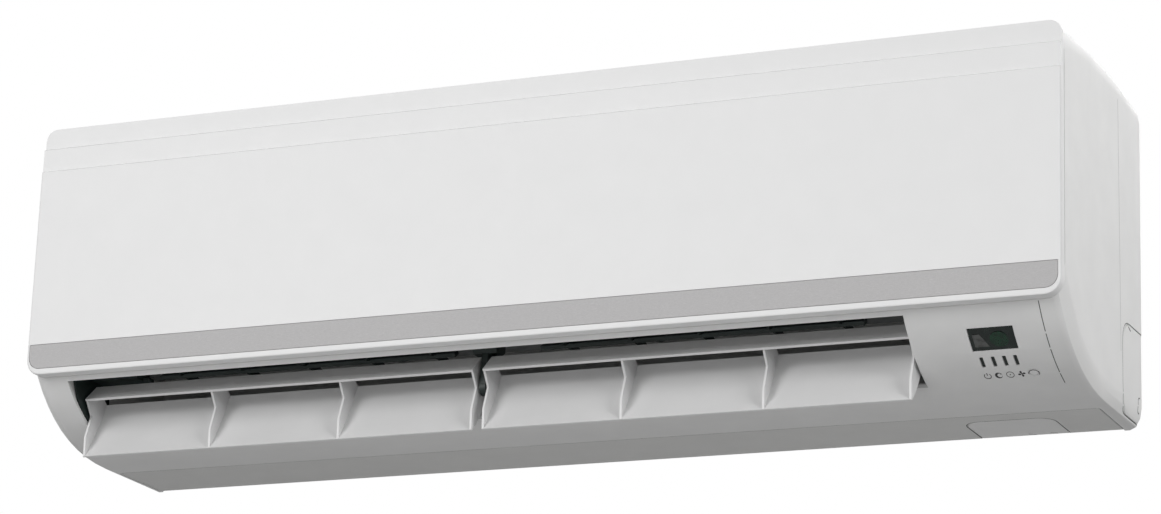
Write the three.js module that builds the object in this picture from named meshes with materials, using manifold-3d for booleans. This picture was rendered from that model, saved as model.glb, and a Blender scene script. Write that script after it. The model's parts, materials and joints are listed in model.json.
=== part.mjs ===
// Indoor half of a wall-hung split air conditioner, opened out as its real pieces.
// Millimetres, +Z up, +Y into the wall. The origin is the middle of the wall plate's back face,
// so the unit stands out from the wall towards -Y and its width runs along X.
import * as THREE from "three";
import { mergeVertices } from "three/addons/utils/BufferGeometryUtils.js";
import Module from "manifold-3d";

const wasm = await Module();
wasm.setup();

// ---------------------------------------------------------------- driving dimensions
const unitWidth = 800;
const unitHeight = 246.5;
const unitDepth = 196;
const wall = 2.5; // moulded casing wall
const seam = 0.4; // gap along a seam between two mouldings
const running = 0.4; // radial gap of a pin in its socket
const joint = 0.3; // gap between faces that seat on each other

// Casing
const endRoundAcross = 9; // how far the rounded end edges come in along the width
const endRoundAround = 15; // and how far they reach round the section
const sideDraft = 2.6; // each end is this much wider at the wall than at the front
const frameFront = 9.5; // front face of the casing, behind the panel
const lipUp = 46.5; // underside of the casing's front edge, above the bottom
const underKneeBack = 46; // the belly curve leaves the lip towards this point
const underFlatBack = 118; // and runs flat from here
const crownBack = 112; // highest line of the top, behind the front face
const crownDropFront = 9;
const crownDropRear = 5;
const crownStartBack = 21; // the top edge behind the panel is rounded up to here
const outletLeftX = -370;
const outletRightX = 286.2;
const outletBack = 68; // rear lip of the air outlet
const floorSeamBack = 128; // where the casing's belly meets the chassis floor
const floorSeamInset = 10; // casing wrapped under the floor at each end
const windowUps = [64, 226]; // openings for the filters, behind the panel
const windowBar = 16; // upright between the two openings
const earFootUp = 227; // ears that hold the panel's pins, from here up
const grilleBacks = [36, 150]; // intake slots over the top
const grilleHalfLength = 372;
const grilleRows = 7;
const grilleColumns = 3;
const grilleBar = 4.5; // slats between the slots
const grillePost = 9; // posts between the columns of slots

// Front panel
const panelBottomUp = 47;
const panelTopUp = 241.5;
const panelSkin = 3;
const panelRimBack = 9.1; // rear edge of the rim along the lower edge and the ends
const panelCornerLow = 12;
const panelCornerHigh = 9;
const panelEdge = 1.6; // rounded front edge
const panelStepUps = [207.6, 226]; // heights of the two steps across the panel
const panelStepBack = 2; // how far each one sets the panel back
const hingeBack = 12;
const hingeUp = 233.5;
const hingePinRadius = 2;
const hingeInset = 52; // hinge arms, from the panel's ends
const hingeArmWidth = 8;
const trimHeight = 19;
const trimUp = 51.6;
const trimInset = 2;
const trimThickness = 1.2;
const trimCorner = 9;

// Fan
const fanFromWall = 88;
const fanUp = 113.5;
const fanRadius = 46;
const fanBladeDepth = 11.5;
const fanBlades = 14;
const fanBays = 3;
const fanRingThickness = 2.4;
const fanGapLeft = 14; // fan ends, inside the duct ends
const fanGapRight = 12;
const shaftRadius = 4;
const bearingRadius = 11;
const bearingHolderRadius = 17;
const motorRadius = 42;
const motorSeatGap = 0.8;
const motorLength = 52;
const motorFromDuct = 7; // motor body, from the duct's right end

// Rear scroll and duct
const scrollStartDegrees = 42;
const scrollEndDegrees = -70;
const scrollGap = 6; // scroll wall to fan, where the scroll starts
const scrollGrowth = 21; // and how much wider it is where the duct floor starts
const scrollWall = 2.5;
const cheekWall = 2.5; // upright walls at the duct's ends
const tongueDegrees = 215;
const tongueGap = 5.5;
const chassisBackGap = 3.6; // chassis back sheet, from the wall
const chassisInset = 7; // chassis ends, inside the casing's ends
const channelUp = 58; // pipe channel behind the duct, open to the wall below this height
const channelBack = 149; // front of the pipe channel
const chassisTopUp = 238.8;

// Drain pan
const panWall = 2.2;
const panFrontUp = 78;
const panEndOver = 9; // pan past each end of the duct
const panRearDegrees = 192;

// Horizontal louvers
const louverPivotBack = 50;
const louverPivotUp = 25;
const louverGap = 2; // louver ends to the duct ends
const louverMiddleX = -42;
const louverMiddleGap = 8; // between the two louvers, for the bracket
const louverTop = [64, 37.5]; // upper edge of the wide blade, back and up
const louverTip = [37.6, -8.3]; // its lower edge
const louverFrontSag = 3.4;
const louverBackSag = 9.6;
const louverEdge = 1.2;
const slatFront = [36.6, 34.2]; // lower edge of the narrow blade
const slatBack = [51.4, 46.6];
const slatThickness = 2.2;
const ribKnee = [44, 24]; // front edge of a louver rib
const ribWaist = [37.6, 6.5];
const louverRibThickness = 1.6;
const louverBays = 3;
const louverPinRadius = 3;

// Vertical vanes, measured down the duct roof from the tongue and square to it
const vanesPerGroup = 5;
const vanePitch = 52.2;
const vaneGroupXs = { left: -190.5, right: 123.5 };
const vaneThickness = 1.6;
const vanePivotAlong = 4;
const vanePivotRadius = 2.4;
const vanePivotLength = 1.5; // ends inside the pan's wall
const vaneOutline = [
  [1, 1],
  [27, 1],
  [31, 9],
  [34, 15.5],
  [6, 34.5],
  [6, 30],
  [12, 23],
  [10, 13],
  [1, 6],
];
const linkAlong = 22; // link pins
const linkDepth = 20; // link bar below the roof
const linkPinRadius = 1.5;
const linkThickness = 3.4;
const linkWidth = 6.6;
const linkTailLeft = 21.5; // bar past the end pins
const linkTailRight = 15.7;

// Heat exchanger
const coilThickness = 22;
const coilFrontBack = 32; // middle of the upright front pack
const coilKneeUp = 142;
const coilRidge = [100, 219]; // where the front and rear packs lean together
const coilRidgeGap = 12;
const coilRearEnd = [163, 168];
const coilEndLeft = 18; // fin packs, inside the duct ends
const coilEndRight = 26;
const finGrooves = 14;
const finGrooveDepth = 5;
const coilPlate = 1.2;
const coilPlateMargin = 3.4;
const tubeRadius = 3.5;
const tubePitch = 21;

// Filters
const filterThickness = 1.6;
const filterKneeUp = 150;
const filterEnd = [128, 237.5];
const filterFrame = 9;
const filterRib = 2.4;
const filterRows = 4;
const filterColumns = 3;

// Service side
const gasPipeRadius = 4.76;
const liquidPipeRadius = 3.18;
const pipeBend = 16;
const boxWall = 2;
const controlBox = { x: [300, 384], back: [18, 54], up: [90, 218] };

// Display, pilot windows and push button, on the belly to the right of the outlet
const displayX = [327.8, 360];
const displayBack = [21.4, 36.8];
const pilotXs = [331.8, 339.9, 347.8, 355.6];
const pilotWidth = 2.6;
const pilotBack = [41.6, 50.5];
const buttonX = 364;
const buttonBack = 59;
const buttonRadius = 3.3;
const buttonTravel = 1;

// Wall plate
const wallPlateWidth = 640;
const wallPlateHeight = 170;
const wallPlateThickness = 1.2;
const hookXs = [-240, 0, 240];
const hookWidth = 26;
const hookTipY = -8.4;
const hookRise = 8;

// ---------------------------------------------------------------- the side section
// Points of the side section are given back from the front face and up from the bottom.
const frontY = -unitDepth;
const bottomZ = -unitHeight / 2;
const topZ = unitHeight / 2;
const halfWidth = unitWidth / 2;
const at = (back, up) => new THREE.Vector2(frontY + back, bottomZ + up);
const section = (pairs) => pairs.map(([back, up]) => at(back, up));
const underCurve = new THREE.QuadraticBezierCurve(at(frameFront, lipUp), at(underKneeBack, 0), at(underFlatBack, 0));
const fanCentre = at(unitDepth - fanFromWall, fanUp);
const louverPivot = at(louverPivotBack, louverPivotUp);

// Height of the casing's top at a distance behind the front face.
function crownUp(back) {
  const reach = back < crownBack ? crownBack - 4 : unitDepth - crownBack;
  const drop = back < crownBack ? crownDropFront : crownDropRear;
  return unitHeight - drop * Math.pow(Math.abs(Math.min(back, unitDepth) - crownBack) / reach, 2.5);
}

// Point and inward normal of the belly curve at a distance behind the front face.
function belly(back) {
  let low = 0;
  let high = 1;
  while (high - low > 1e-6) {
    const middle = (low + high) / 2;
    if (underCurve.getPoint(middle).x < frontY + back) low = middle;
    else high = middle;
  }
  const tangent = underCurve.getTangent(low);
  return { point: underCurve.getPoint(low), tangent, inward: new THREE.Vector2(-tangent.y, tangent.x) };
}

const turned = (angle) => new THREE.Vector2(Math.cos(angle), Math.sin(angle));
const onFan = (degrees, radius) =>
  turned(THREE.MathUtils.degToRad(degrees)).multiplyScalar(radius).add(fanCentre);
const arcOnFan = (from, to, radius, steps) =>
  Array.from({ length: steps + 1 }, (_, i) => onFan(THREE.MathUtils.lerp(from, to, i / steps), radius));

// The rear scroll widens evenly round the fan, from its top rear down to the duct floor.
function scrollLine(offset, steps) {
  return Array.from({ length: steps + 1 }, (_, i) => {
    const share = i / steps;
    const degrees = THREE.MathUtils.lerp(scrollStartDegrees, scrollEndDegrees, share);
    return onFan(degrees, fanRadius + scrollGap + scrollGrowth * share + offset);
  });
}

const tongueTip = onFan(tongueDegrees, fanRadius + tongueGap);
const roofLip = at(frameFront + wall + 1.2, lipUp + 2); // where the duct roof meets the casing's lip
const downDuct = roofLip.clone().sub(tongueTip).normalize(); // along the roof, towards the room
const intoDuct = new THREE.Vector2(-downDuct.y, downDuct.x); // square to the roof, into the duct
const fromTongue = (along, deep) =>
  tongueTip.clone().addScaledVector(downDuct, along).addScaledVector(intoDuct, deep);
const roofLength = roofLip.distanceTo(tongueTip);

// ---------------------------------------------------------------- modelling helpers
const outlineShape = (points, holes = []) => {
  const shape = new THREE.Shape(points);
  shape.holes = holes.map((hole) => new THREE.Path(hole));
  return shape;
};

// A side-section outline (Y, Z) drawn out along the width.
function prismX(points, xFrom, xTo, holes = []) {
  const geometry = new THREE.ExtrudeGeometry(outlineShape(points, holes), {
    depth: xTo - xFrom,
    bevelEnabled: false,
  });
  return geometry.applyMatrix4(new THREE.Matrix4().set(0, 0, 1, xFrom, 1, 0, 0, 0, 0, 1, 0, 0, 0, 0, 0, 1));
}

// The same with both ends rounded over.
function roundedPrismX(points, half, across, around) {
  const geometry = new THREE.ExtrudeGeometry(outlineShape(points), {
    depth: 2 * (half - across),
    bevelThickness: across,
    bevelSize: around,
    bevelOffset: -around,
    bevelSegments: 3,
  });
  geometry.translate(0, 0, across - half);
  return geometry.applyMatrix4(new THREE.Matrix4().set(0, 0, 1, 0, 1, 0, 0, 0, 0, 1, 0, 0, 0, 0, 0, 1));
}

function block(xFrom, xTo, yFrom, yTo, zFrom, zTo) {
  const geometry = new THREE.BoxGeometry(xTo - xFrom, yTo - yFrom, zTo - zFrom);
  return geometry.translate((xFrom + xTo) / 2, (yFrom + yTo) / 2, (zFrom + zTo) / 2);
}

// A round rod along the width, about a point of the side section.
function rodX(centre, radius, xFrom, xTo, sides = 16) {
  const geometry = new THREE.CylinderGeometry(radius, radius, xTo - xFrom, sides);
  geometry.rotateZ(-Math.PI / 2);
  return geometry.translate((xFrom + xTo) / 2, centre.x, centre.y);
}

const rodZ = (radius, zFrom, zTo, sides = 16, tipRadius = radius) =>
  new THREE.CylinderGeometry(tipRadius, radius, zTo - zFrom, sides)
    .rotateX(Math.PI / 2)
    .translate(0, 0, (zFrom + zTo) / 2);

const circlePoints = (centre, radius, sides) =>
  Array.from({ length: sides }, (_, i) =>
    turned((2 * Math.PI * i) / sides).multiplyScalar(radius).add(centre),
  );

function solidOf(geometry) {
  const bare = geometry.clone();
  bare.deleteAttribute("normal");
  bare.deleteAttribute("uv");
  const merged = mergeVertices(bare, 1e-4);
  return new wasm.Manifold(
    new wasm.Mesh({
      numProp: 3,
      vertProperties: new Float32Array(merged.attributes.position.array),
      triVerts: new Uint32Array(merged.index.array),
    }),
  );
}

function geometryOf(solid) {
  const mesh = solid.getMesh();
  const geometry = new THREE.BufferGeometry();
  geometry.setAttribute("position", new THREE.BufferAttribute(new Float32Array(mesh.vertProperties), 3));
  geometry.setIndex(new THREE.BufferAttribute(new Uint32Array(mesh.triVerts), 1));
  return geometry;
}

const fuse = (...pieces) => geometryOf(pieces.map(solidOf).reduce((sum, piece) => sum.add(piece)));
const cut = (base, ...tools) => geometryOf(tools.map(solidOf).reduce((left, tool) => left.subtract(tool), solidOf(base)));
const common = (a, b) => geometryOf(solidOf(a).intersect(solidOf(b)));

// A closed round tube through the given points, with a ring of vertices at each one.
function tubeThrough(points, radius, sides) {
  const position = [];
  const index = [];
  const direction = (i) =>
    points[Math.min(i + 1, points.length - 1)].clone().sub(points[Math.max(i - 1, 0)]).normalize();
  let side = new THREE.Vector3(0, 0, 1);
  points.forEach((point, i) => {
    const along = direction(i);
    side = side.clone().addScaledVector(along, -side.dot(along)).normalize();
    const other = along.clone().cross(side);
    for (let k = 0; k < sides; k++) {
      const turn = (2 * Math.PI * (k + 0.5)) / sides;
      position.push(
        ...point.clone().addScaledVector(side, radius * Math.cos(turn)).addScaledVector(other, radius * Math.sin(turn)),
      );
    }
  });
  for (let i = 0; i + 1 < points.length; i++)
    for (let k = 0; k < sides; k++) {
      const a = i * sides + k;
      const b = i * sides + ((k + 1) % sides);
      index.push(a, b, b + sides, a, b + sides, a + sides);
    }
  const last = (points.length - 1) * sides;
  for (let k = 1; k + 1 < sides; k++) index.push(0, k + 1, k, last, last + k, last + k + 1);
  const geometry = new THREE.BufferGeometry();
  geometry.setAttribute("position", new THREE.Float32BufferAttribute(position, 3));
  return geometry.setIndex(index);
}

// Corner points of a route, with each corner turned at the given radius.
function bentRoute(corners, radius, steps) {
  const route = [corners[0]];
  for (let i = 1; i + 1 < corners.length; i++) {
    const back = corners[i - 1].clone().sub(corners[i]).normalize();
    const ahead = corners[i + 1].clone().sub(corners[i]).normalize();
    const reach = radius / Math.tan(back.angleTo(ahead) / 2);
    const start = corners[i].clone().addScaledVector(back, reach);
    const end = corners[i].clone().addScaledVector(ahead, reach);
    const centre = corners[i].clone().addScaledVector(back.clone().add(ahead).normalize(), Math.hypot(radius, reach));
    for (let k = 0; k <= steps; k++) {
      const mixed = start.clone().lerp(end, k / steps).sub(centre).normalize();
      const from = start.clone().sub(centre).normalize();
      const to = end.clone().sub(centre).normalize();
      const sweep = from.angleTo(to);
      const share = (k / steps) * sweep;
      mixed.copy(from).multiplyScalar(Math.sin(sweep - share)).addScaledVector(to, Math.sin(share)).divideScalar(Math.sin(sweep));
      route.push(centre.clone().addScaledVector(mixed, radius));
    }
  }
  route.push(corners[corners.length - 1]);
  return route;
}

// ---------------------------------------------------------------- finishes
const finish = (color, roughness, metalness = 0) => new THREE.MeshStandardMaterial({ color, roughness, metalness });
const finishes = {
  white: finish(0xe9e9e7, 0.35),
  chassis: finish(0xdededc, 0.5),
  silver: finish(0xb9b7b6, 0.4, 0.3),
  louver: finish(0xd6d6d5, 0.4),
  dark: finish(0x1d2b28, 0.55),
  smoke: finish(0x1a201e, 0.12),
  fan: finish(0x9c9fa0, 0.5),
  steel: finish(0xa9adb0, 0.4, 0.9),
  aluminium: finish(0xc4c7ca, 0.45, 0.9),
  copper: finish(0xb8703f, 0.35, 0.95),
  brass: finish(0xb99a4b, 0.35, 0.95),
  rubber: finish(0x1b1b1b, 0.85),
  filter: finish(0x5f7f96, 0.6),
  board: finish(0x1f6a3d, 0.5),
  boxGrey: finish(0x8b8d8f, 0.6),
};

const unit = new THREE.Group();
unit.name = "split_indoor_unit";

function piece(name, geometry, material, parent = unit) {
  const mesh = new THREE.Mesh(geometry, material);
  mesh.name = name;
  parent.add(mesh);
  return mesh;
}

// ---------------------------------------------------------------- casing
// Outline of the casing's side section, drawn in by an inset. It runs on past the wall and past
// the front, where the shell is cut off flat.
function casingOutline(inset, overrun = 24) {
  const bellySteps = 9;
  const crownSteps = 7;
  const points = [];
  const lead = underCurve.getTangent(0);
  for (let i = 0; i <= bellySteps; i++) {
    const tangent = underCurve.getTangent(i / bellySteps);
    const point = underCurve.getPoint(i / bellySteps);
    points.push(point.add(new THREE.Vector2(-tangent.y, tangent.x).multiplyScalar(inset)));
  }
  points.unshift(points[0].clone().addScaledVector(lead, -overrun));
  points.push(new THREE.Vector2(overrun, bottomZ + inset));
  points.push(new THREE.Vector2(overrun, bottomZ + crownUp(unitDepth) - inset));
  for (let i = 0; i <= crownSteps; i++) {
    const back = THREE.MathUtils.lerp(unitDepth, crownStartBack, i / crownSteps);
    points.push(at(back, crownUp(back) - inset));
  }
  points.push(at(frameFront - overrun, crownUp(crownStartBack) - inset - 12));
  return points;
}

// Each end of the moulding spreads a little towards the wall.
function withDraft(geometry) {
  const position = geometry.attributes.position;
  for (let i = 0; i < position.count; i++) {
    const x = position.getX(i);
    const share = (position.getY(i) - frontY) / unitDepth;
    position.setX(i, x + Math.sign(x) * sideDraft * share);
  }
  return geometry;
}

const casingForm = (inset) =>
  withDraft(roundedPrismX(casingOutline(inset), halfWidth - inset, endRoundAcross - inset / 2, endRoundAround - inset));

// The part of the casing's moulded wall between two depths that lies inside a tool.
function wallPiece(tool, outerInset, innerInset) {
  return solidOf(tool).intersect(solidOf(casingForm(outerInset))).subtract(solidOf(casingForm(innerInset)));
}

// A prism standing square to the belly at a distance back, as wide along X as given.
function bellyBlock(xFrom, xTo, backFrom, backTo, out = 6, deep = 12) {
  const from = belly(backFrom);
  const to = belly(backTo);
  return prismX(
    [
      from.point.clone().addScaledVector(from.inward, -out),
      to.point.clone().addScaledVector(to.inward, -out),
      to.point.clone().addScaledVector(to.inward, deep),
      from.point.clone().addScaledVector(from.inward, deep),
    ],
    xFrom,
    xTo,
  );
}

// A round rod standing square to the belly, between two depths below its surface.
function bellyRod(x, back, radius, from, to, sides = 12) {
  const { point, inward } = belly(back);
  const rod = rodZ(radius, from, to, sides);
  const basis = new THREE.Matrix4().makeBasis(
    new THREE.Vector3(1, 0, 0),
    new THREE.Vector3(0, inward.y, -inward.x),
    new THREE.Vector3(0, inward.x, inward.y),
  );
  return rod.applyMatrix4(basis.setPosition(x, point.x, point.y));
}

// A rounded rectangle in two axes of a plane.
function roundedRectangle(uFrom, uTo, vFrom, vTo, corner, cornerHigh = corner) {
  const shape = new THREE.Shape();
  shape.moveTo(uFrom + corner, vFrom);
  shape.lineTo(uTo - corner, vFrom);
  shape.absarc(uTo - corner, vFrom + corner, corner, -Math.PI / 2, 0);
  shape.lineTo(uTo, vTo - cornerHigh);
  shape.absarc(uTo - cornerHigh, vTo - cornerHigh, cornerHigh, 0, Math.PI / 2);
  shape.lineTo(uFrom + cornerHigh, vTo);
  shape.absarc(uFrom + cornerHigh, vTo - cornerHigh, cornerHigh, Math.PI / 2, Math.PI);
  shape.lineTo(uFrom, vFrom + corner);
  shape.absarc(uFrom + corner, vFrom + corner, corner, Math.PI, (3 * Math.PI) / 2);
  return shape;
}

// A front-view shape (X, Z) drawn out along Y.
function prismY(shape, yFrom, yTo, curveSegments = 3) {
  const geometry = new THREE.ExtrudeGeometry(shape, { depth: yTo - yFrom, bevelEnabled: false, curveSegments });
  return geometry.rotateX(Math.PI / 2).translate(0, yTo, 0);
}

// A side-view shape (Y, Z) drawn out along X.
function prismAlongX(shape, xFrom, xTo, curveSegments = 4) {
  const geometry = new THREE.ExtrudeGeometry(shape, { depth: xTo - xFrom, bevelEnabled: false, curveSegments });
  return geometry.applyMatrix4(new THREE.Matrix4().set(0, 0, 1, xFrom, 1, 0, 0, 0, 0, 1, 0, 0, 0, 0, 0, 1));
}

// A plan-view shape (X, Y) drawn out along Z.
const prismZ = (shape, zFrom, zTo, curveSegments = 4) =>
  new THREE.ExtrudeGeometry(shape, { depth: zTo - zFrom, bevelEnabled: false, curveSegments }).translate(0, 0, zFrom);

// Knock-outs for the pipes: plates left in the walls on a thin seam.
const sideKnockOut = { back: [148, unitDepth + 20], up: [4, 68], corner: 18 };
const floorKnockOut = { x: [287, 351], back: [145, unitDepth + 20], corner: 14 };
const sideKnockOutForm = (side, grow) => {
  const { back, up, corner } = sideKnockOut;
  const shape = roundedRectangle(
    frontY + back[0] - grow,
    frontY + back[1],
    bottomZ + up[0] - grow,
    bottomZ + up[1] + grow,
    corner,
  );
  const inner = side * (halfWidth - 6);
  const outer = side * (halfWidth + 12);
  return prismAlongX(shape, Math.min(inner, outer), Math.max(inner, outer));
};

function buildCasing() {
  let shell = solidOf(casingForm(0)).subtract(solidOf(casingForm(wall)));
  // the front is closed by a flat wall behind the panel
  const frontSlice = block(-halfWidth, halfWidth, frontY + frameFront, frontY + frameFront + wall, bottomZ, topZ);
  shell = shell.add(solidOf(frontSlice).intersect(solidOf(casingForm(wall / 2))));
  const cutTools = [
    block(-halfWidth - 20, halfWidth + 20, frontY - 60, frontY + frameFront, bottomZ - 9, topZ + 9),
    block(-halfWidth - 20, halfWidth + 20, 0, 60, bottomZ - 9, topZ + 9),
    // rounded upper edge behind the panel
    prismX(
      section([[0, 232], [frameFront, 232], [10.5, 235], [13.5, 237.4], [crownStartBack, crownUp(crownStartBack)], [crownStartBack, 260], [0, 260]]),
      -halfWidth - 20,
      halfWidth + 20,
    ),
    // air outlet
    block(outletLeftX, outletRightX, frontY + frameFront + wall, frontY + outletBack, bottomZ - 9, bottomZ + lipUp),
    // room for the chassis floor
    block(
      -halfWidth + floorSeamInset,
      halfWidth - floorSeamInset,
      frontY + floorSeamBack,
      20,
      bottomZ - 9,
      bottomZ + wall + 1,
    ),
    // display window, pilot windows and button
    bellyBlock(displayX[0], displayX[1], displayBack[0], displayBack[1]),
    bellyRod(buttonX, buttonBack, buttonRadius, -6, 12),
    ...pilotXs.map((x) => bellyBlock(x - pilotWidth / 2, x + pilotWidth / 2, pilotBack[0], pilotBack[1])),
    sideKnockOutForm(1, seam),
    sideKnockOutForm(-1, seam),
  ];
  // two openings behind the panel give the filters their way in
  const filterEdge = outletRightX - 4;
  for (const [from, to] of [
    [outletLeftX + 4, louverMiddleX - windowBar / 2],
    [louverMiddleX + windowBar / 2, filterEdge],
  ])
    cutTools.push(
      block(from, to, frontY, frontY + frameFront + wall + 2, bottomZ + windowUps[0], bottomZ + windowUps[1]),
    );
  // intake grille over the top
  const rowPitch = (grilleBacks[1] - grilleBacks[0]) / grilleRows;
  const columnPitch = (2 * grilleHalfLength) / grilleColumns;
  for (let row = 0; row < grilleRows; row++)
    for (let column = 0; column < grilleColumns; column++) {
      const x = -grilleHalfLength + column * columnPitch;
      const y = frontY + grilleBacks[0] + row * rowPitch;
      cutTools.push(
        block(x + grillePost / 2, x + columnPitch - grillePost / 2, y, y + rowPitch - grilleBar, topZ - 30, topZ + 9),
      );
    }
  // pockets for the panel's hinge arms, with a hole for the pin in each side
  for (const side of [-1, 1]) {
    const x = side * (halfWidth - hingeInset);
    const arm = hingeArmWidth / 2 + running;
    cutTools.push(
      block(x - arm, x + arm, frontY, frontY + hingeBack + 5.2, bottomZ + hingeUp - 6, bottomZ + hingeUp + 20),
    );
  }
  for (const tool of cutTools) shell = shell.subtract(solidOf(tool));
  // ears that hold the hinge pins, inside the top edge
  for (const side of [-1, 1])
    for (const end of [-1, 1]) {
      const from = side * (halfWidth - hingeInset) + end * (hingeArmWidth / 2 + running);
      const to = from + end * 5;
      const ear = prismX(
        section([
          [frameFront + 0.4, earFootUp],
          [22, earFootUp],
          [22, 240.2 - wall / 2],
          [15, 236.8],
          [10.7, 234],
          [frameFront + 0.4, 231],
        ]),
        Math.min(from, to),
        Math.max(from, to),
      );
      const pinHole = rodX(at(hingeBack, hingeUp), hingePinRadius + running, Math.min(from, to) - 1, Math.max(from, to) + 1, 12);
      shell = shell.add(solidOf(ear)).subtract(solidOf(pinHole));
    }
  return geometryOf(shell);
}

piece("front_casing", buildCasing(), finishes.white);

function knockOutPlate(side) {
  return geometryOf(
    wallPiece(sideKnockOutForm(side, 0), 0, wall).subtract(solidOf(block(-500, 500, -1, 60, bottomZ - 9, topZ))),
  );
}
piece("side_knockout_right", knockOutPlate(1), finishes.white);
piece("side_knockout_left", knockOutPlate(-1), finishes.white);

piece(
  "display_window",
  geometryOf(wallPiece(bellyBlock(displayX[0] + joint, displayX[1] - joint, displayBack[0] + joint, displayBack[1] - joint), 0.3, 4.5)),
  finishes.smoke,
);

// One moulding carries light to the four pilot windows.
function buildLightGuide() {
  const prongs = pilotXs.map((x) =>
    wallPiece(
      bellyBlock(x - pilotWidth / 2 + joint, x + pilotWidth / 2 - joint, pilotBack[0] + joint, pilotBack[1] - joint),
      0.4,
      6,
    ),
  );
  const bar = wallPiece(bellyBlock(pilotXs[0] - 4, pilotXs[3] + 4, pilotBack[0] + 1, pilotBack[1] - 1), 4.4, 6.5);
  return geometryOf(prongs.reduce((sum, prong) => sum.add(prong), bar));
}
piece("light_guide", buildLightGuide(), finishes.smoke);

const buttonFlange = 1.6;
piece(
  "on_off_button",
  fuse(
    bellyRod(buttonX, buttonBack, buttonRadius - joint, 0, wall + buttonTravel + 1),
    bellyRod(buttonX, buttonBack, buttonRadius + buttonFlange, wall + joint, wall + joint + 1.2),
    bellyRod(buttonX, buttonBack, 1.6, wall, wall + 4.2, 6),
  ),
  finishes.white,
);

// ---------------------------------------------------------------- front panel
function panelOutline(inset, stepTop = panelTopUp) {
  return roundedRectangle(
    -halfWidth + inset,
    halfWidth - inset,
    bottomZ + panelBottomUp + inset,
    bottomZ + stepTop - inset,
    panelCornerLow - inset,
    panelCornerHigh - inset,
  );
}

function buildPanel() {
  const blank = new THREE.ExtrudeGeometry(panelOutline(panelEdge), {
    depth: panelRimBack,
    bevelThickness: panelEdge,
    bevelSize: panelEdge,
    bevelSegments: 2,
    curveSegments: 3,
  });
  blank.rotateX(Math.PI / 2).translate(0, frontY + panelEdge + panelRimBack, 0);
  let panel = solidOf(blank).subtract(
    solidOf(block(-500, 500, frontY + panelRimBack, frontY + 40, bottomZ, topZ)),
  );
  panel = panel.subtract(solidOf(prismY(panelOutline(panelSkin), frontY + panelSkin + 2 * panelStepBack, frontY + 40)));
  // behind the tall lower face the skin keeps its thickness
  const hollowTops = [panelStepUps[0] - panelSkin, panelStepUps[1] - panelSkin];
  hollowTops.forEach((up, i) => {
    panel = panel.subtract(
      solidOf(prismY(panelOutline(panelSkin, up), frontY + panelSkin + i * panelStepBack, frontY + 40)),
    );
  });
  // the two steps, each set back on a short slope
  panelStepUps.forEach((up, i) => {
    const cutTo = frontY + (i + 1) * panelStepBack;
    const slope = 1.2;
    const tool = prismX(
      [
        new THREE.Vector2(frontY - 9, bottomZ + up),
        new THREE.Vector2(cutTo - panelStepBack, bottomZ + up - slope),
        new THREE.Vector2(cutTo, bottomZ + up),
        new THREE.Vector2(cutTo, topZ + 9),
        new THREE.Vector2(frontY - 9, topZ + 9),
      ],
      -500,
      500,
    );
    panel = panel.subtract(solidOf(tool));
  });
  // the rim stops short of the top, clear of the casing as the panel lifts
  panel = panel.subtract(
    solidOf(
      prismX(
        section([[7, 260], [7, 231], [panelRimBack + 1, 226], [40, 226], [40, 260]]),
        -500,
        500,
      ),
    ),
  );
  // recess for the trim strip
  panel = panel.subtract(solidOf(prismY(trimOutline(0), frontY - 9, frontY + trimThickness + joint)));
  return geometryOf(panel);
}

// Hinge arm behind the panel's top edge, with its pin.
function buildPanelArm(side) {
  const x = side * (halfWidth - hingeInset);
  const half = hingeArmWidth / 2;
  const armFront = panelSkin + 2 * panelStepBack + joint;
  const arm = prismX(
    section([
      [armFront, hingeUp - 4],
      [hingeBack, hingeUp - 4],
      [hingeBack + 3.4, hingeUp - 1.6],
      [hingeBack + 3.4, hingeUp + 1.6],
      [hingeBack, hingeUp + 3],
      [armFront, hingeUp + 3],
    ]),
    x - half,
    x + half,
  );
  return fuse(arm, rodX(at(hingeBack, hingeUp), hingePinRadius, x - half - 4.5, x + half + 4.5, 12));
}

function trimOutline(gap) {
  return roundedRectangle(
    -halfWidth + trimInset + gap,
    halfWidth - trimInset - gap,
    bottomZ + trimUp + gap,
    bottomZ + trimUp + trimHeight - gap,
    trimCorner,
    0.6,
  );
}

piece("front_panel", buildPanel(), finishes.white);
piece("panel_arm_left", buildPanelArm(-1), finishes.white);
piece("panel_arm_right", buildPanelArm(1), finishes.white);
piece("trim_strip", prismY(trimOutline(joint), frontY, frontY + trimThickness), finishes.silver);

// ---------------------------------------------------------------- chassis with scroll and duct
const ductFloorEnd = belly(outletBack + 2.5);
const ductFloorLip = ductFloorEnd.point.clone().addScaledVector(ductFloorEnd.inward, wall + seam);
const backSheetY = -chassisBackGap;
const chassisHalf = halfWidth - chassisInset;
const cheekLeft = outletLeftX - 1.6; // the left cheek carries a thin liner on its inner side
const cheekRight = outletRightX;
const shaftHole = bearingHolderRadius + joint;
const sheetCorner = 24; // clears the casing's rounded ends

// Side section of an upright wall that closes one end of the duct and the fan's scroll.
function cheekOutline() {
  const steps = 8;
  const bellyEdge = [62, 48, 36, 26, 19].map((back) => {
    const { point, inward } = belly(back);
    return point.addScaledVector(inward, wall + seam);
  });
  return [
    ...arcOnFan(tongueDegrees, scrollStartDegrees, fanRadius + tongueGap - joint, steps),
    ...scrollLine(scrollWall, steps),
    ductFloorLip,
    ...bellyEdge,
    fromTongue(roofLength, joint),
    fromTongue(0, joint),
  ];
}

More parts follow.
